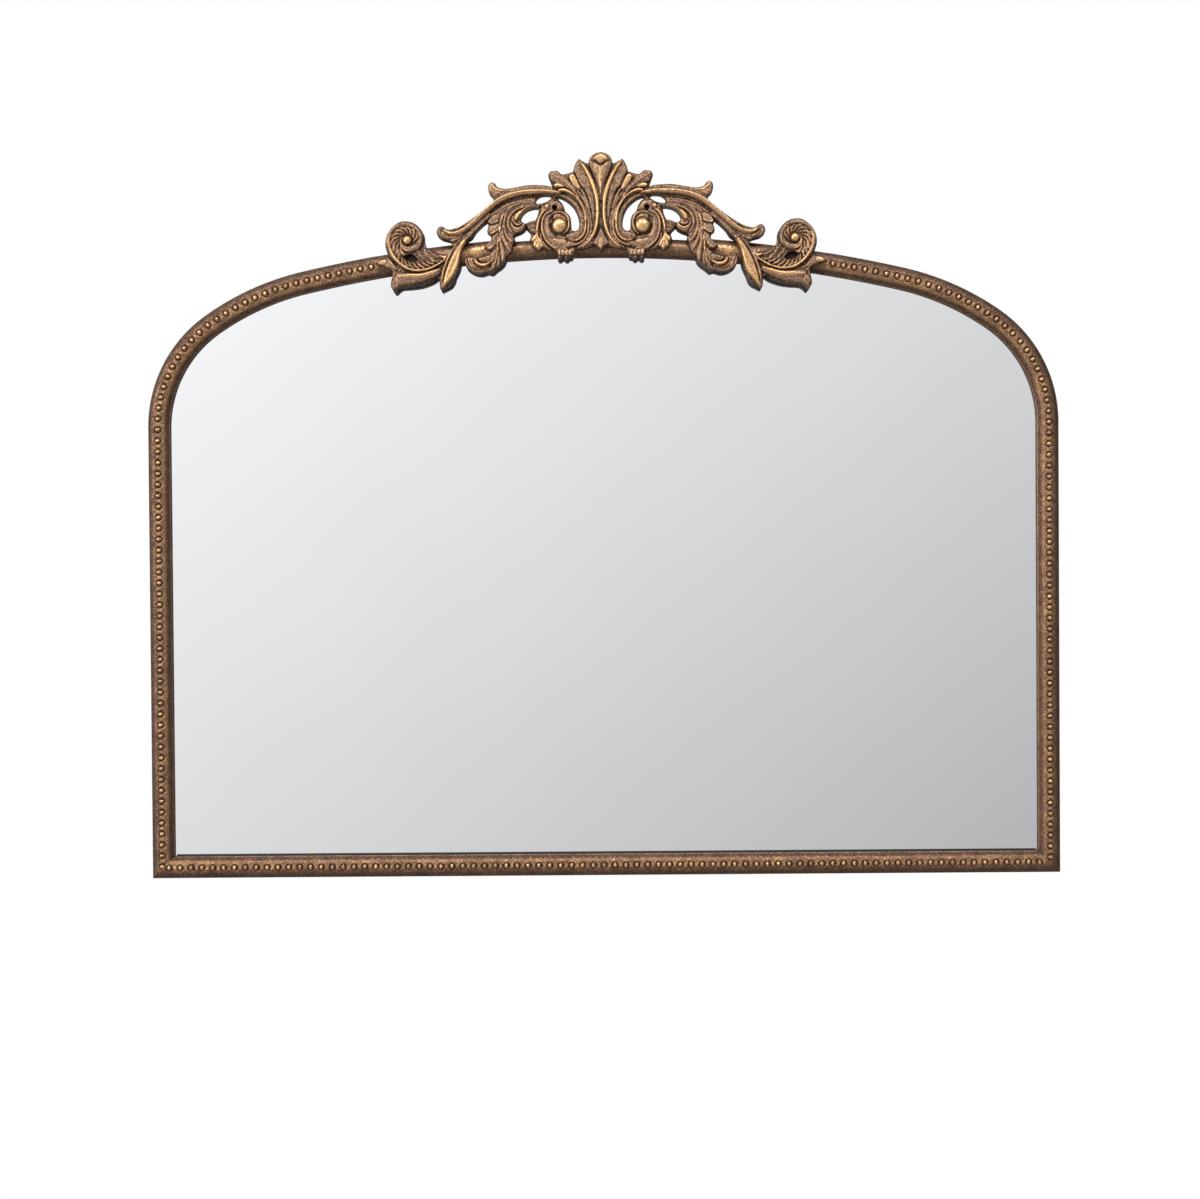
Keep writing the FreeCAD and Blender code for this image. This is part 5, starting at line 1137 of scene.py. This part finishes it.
def triangulated(loops, grain_px):
    """Triangles that fill the outline and leave the openings, with a grid of points inside.
    The last result gives the place of each loop point among the points."""
    x, y = np.meshgrid(np.arange(crest_left_px, crest_axis_px + 0.1, grain_px),
                       np.arange(crest_top_py, crest_bottom_py, grain_px))
    grid = np.column_stack([x.ravel(), y.ravel()])
    grid = grid[in_the_metal(grid, loops)]
    grid = grid[(loop_distance(grid, loops) > grain_px * rim_clearance_share)
                & (grid[:, 0] < crest_axis_px - grain_px * axis_clearance_share)]
    points = [Vector(p) for loop in loops for p in loop]
    edges = []
    for loop in loops:
        first = len(edges)
        edges += [(first + i, first + (i + 1) % len(loop)) for i in range(len(loop))]
    made = delaunay_2d_cdt(points + [Vector(p) for p in grid], edges, [], 1, merge_px)
    found = np.array([tuple(v) for v in made[0]])
    faces = np.array([tuple(f) for f in made[2]])
    rim = {source: i for i, sources in enumerate(made[3]) for source in sources if source < len(points)}
    return found, faces[in_the_metal(found[faces].mean(axis=1), loops)], rim


def bar_front(x, height):
    """How far forward the plain bar's front stands at a place, or zero beside the bar."""
    inset = crown_radius - np.hypot(x - crown_centre[0], height - crown_centre[1])
    middle, reach = (bar_edge + moulding_width) / 2, (moulding_width - bar_edge) / 2
    low = np.where(inset < middle, outer_wall_depth, inner_wall_depth)
    depth = low + (bar_top_depth - low) * dome(np.clip((inset - middle) / reach, -1, 1))
    return np.where(np.abs(inset - middle) < reach + bar_seat_gap, depth, 0.0)


def crest_place(points):
    """x and height, in metres, of pixel points of the crest's left half."""
    out = crest_axis_px - points[:, 0]
    rise = crest_datum_py - points[:, 1] + out * picture_lean_share
    return crest_aside - out * crest_px_size, crest_datum_height + rise * crest_px_size


def crest_front(places, loops):
    """Points of the casting's carved front, and their rub, with its painted light and shade."""
    relief, gold = crest_relief()
    height = sampled(relief, places)
    edge = np.clip(loop_distance(places, loops) / edge_round_px, 0, 1)
    rounding = np.sqrt(1 - (1 - edge) ** 2)
    full = crest_ground_depth + (crest_top_depth - crest_ground_depth) * height
    low = crest_wall_depth + (crest_ground_depth - crest_wall_depth) * height
    x, z = crest_place(places)
    points = np.column_stack(point(x, low + (full - low) * rounding, z))
    fine = relief - blurred(relief, fine_blur_px)
    rub = np.clip(sampled(gold + fine_rub * fine, places), 0.0, 1.0)
    # Darker towards the outline: painted shade where the edge falls away
    rub *= casting_edge_shading[0] + casting_edge_shading[1] * rounding
    return points.tolist(), rub.tolist()


def crest_back(places):
    """Points of the casting's flat back, hollowed where it sits on the bar."""
    x, z = crest_place(places)
    return np.column_stack(point(x, np.maximum(crest_back_depth, bar_front(x, z) + bar_seat_gap), z)).tolist()


def make_crest():
    """The casting: a carved front, a back, and a wall between them with a step behind the front's edge."""
    loops = [front_edge(crest_loop(crest_outline_px, False), False)]
    loops += [front_edge(crest_loop(opening, True), True) for opening in crest_openings_px]
    front, front_faces, front_rim = triangulated(loops, crest_grain_px)
    back, back_faces, back_rim = triangulated(loops, crest_back_grain_px)
    vertices, rub = crest_front(front, loops)
    offset = len(vertices)
    vertices += crest_back(back)
    faces = front_faces.tolist() + (back_faces[:, ::-1] + offset).tolist()
    first = 0
    for loop in loops:
        belt = {}
        for i, (start, end) in enumerate(pairs(loop)):
            if min(start[0], end[0]) < off_axis_px:
                j = (i + 1) % len(loop)
                for k in (i, j):
                    if k not in belt:
                        x, y, z = vertices[front_rim[first + k]]
                        belt[k] = len(vertices)
                        vertices.append((x, y + crest_wall_step, z))
                faces.append((front_rim[first + i], front_rim[first + j], belt[j], belt[i]))
                faces.append((belt[i], belt[j], back_rim[first + j] + offset, back_rim[first + i] + offset))
        first += len(loop)
    count = len(vertices)
    # The back and the walls get one dark rub: on the walls it is painted shade
    rub += [back_and_wall_shade_rub] * (count - offset)
    vertices += [(2 * crest_aside - x, y, z) for x, y, z in vertices]
    faces += [[i + count for i in reversed(f)] for f in faces]
    mesh = closed_mesh("crest_casting", vertices, faces, rub + rub, seam=crest_aside)
    finished_object("crest_casting", mesh, resin_bronze, "mirror", ["crest"], sharp_deg=60.0)


def dress_cad_nodes():
    """Gives the CAD nodes that stay in view their finishes."""
    for finish, names in (
            (glass, ["mirror_plate"]), (hardboard, ["backing_board"]),
            (rubber, ["setting_strip", "bumper_left", "bumper_right"]),
            (foam, ["foam_strip_left", "foam_strip_middle", "foam_strip_right"]),
            (mill_steel, ["board_tabs", "corner_angle_left", "corner_angle_right", "splice_left", "splice_right"]),
            (zinc, ["crest_screws", "hanger_strap_left", "hanger_strap_right", "hanger_ring_left",
                    "hanger_ring_right", "strap_screws_left", "strap_screws_right"])):
        for name in names:
            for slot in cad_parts[name].material_slots:
                slot.material = finish


def make_camera():
    """The camera, at the photo's place and angle."""
    data = bpy.data.cameras.new("camera")
    data.sensor_width = 36.0
    data.lens = camera_lens_mm
    camera = placed("camera", data)
    camera.location = camera_place
    camera.rotation_euler = camera_turn
    bpy.context.scene.camera = camera


def make_floor():
    """A plain pale floor."""
    mesh = bpy.data.meshes.new("floor")
    corners = ((-1, floor_near), (1, floor_near), (1, floor_far), (-1, floor_far))
    mesh.from_pydata([(side * floor_side, y, floor_height) for side, y in corners], [], [(0, 1, 2, 3)])
    mesh.materials.append(plain_finish("pale_floor", "#a8a6a3", "#a4a29f", grain_mm=40.0, roughness=0.7, bump_mm=0.0))
    ground = placed("floor", mesh)


def make_studio():
    """A bright wrap of soft light that the mirror reflects, white to the camera, and soft boxes."""
    world = bpy.data.worlds.new("studio")
    bpy.context.scene.world = world
    tree = empty_tree(world)
    way = add_node(tree, "ShaderNodeTexCoord").outputs["Generated"]
    parts = add_node(tree, "ShaderNodeSeparateXYZ", {0: way}).outputs
    # Brighter to the upper left, where the glass looks; brighter still behind the mirror, to light its edges
    tilt = add_maths(tree, "MULTIPLY_ADD", parts["X"], -light_to_left, 0.0)
    tilt = add_maths(tree, "MULTIPLY_ADD", parts["Z"], light_to_top, tilt)
    bright = add_maths(tree, "ADD", add_range(tree, parts["Y"], *light_before_mirror), tilt)
    bright = add_maths(tree, "MAXIMUM", bright, add_range(tree, parts["Y"], *light_behind_mirror))
    wrap = add_node(tree, "ShaderNodeBackground", {"Color": linear("#fcfcfd"), "Strength": bright}).outputs[0]
    white = add_node(tree, "ShaderNodeBackground", {"Color": linear("#ffffff"), "Strength": 1.0}).outputs[0]
    camera_ray = add_node(tree, "ShaderNodeLightPath").outputs["Is Camera Ray"]
    mixed = add_node(tree, "ShaderNodeMixShader", {0: camera_ray, 1: wrap, 2: white}).outputs[0]
    add_node(tree, "ShaderNodeOutputWorld", {"Surface": mixed})

    for name, place, size, power in soft_boxes:
        light = bpy.data.lights.new(name, "AREA")
        light.shape = "RECTANGLE"
        light.size, light.size_y = size
        light.energy = power
        lamp = placed(name, light)
        lamp.location = place
        lamp.rotation_euler = (Vector(light_aim) - Vector(place)).to_track_quat("-Z", "Y").to_euler()
    bpy.context.scene.view_settings.view_transform = "Standard"


make_camera()
make_floor()
make_studio()
make_mouldings()
make_crest()
dress_cad_nodes()
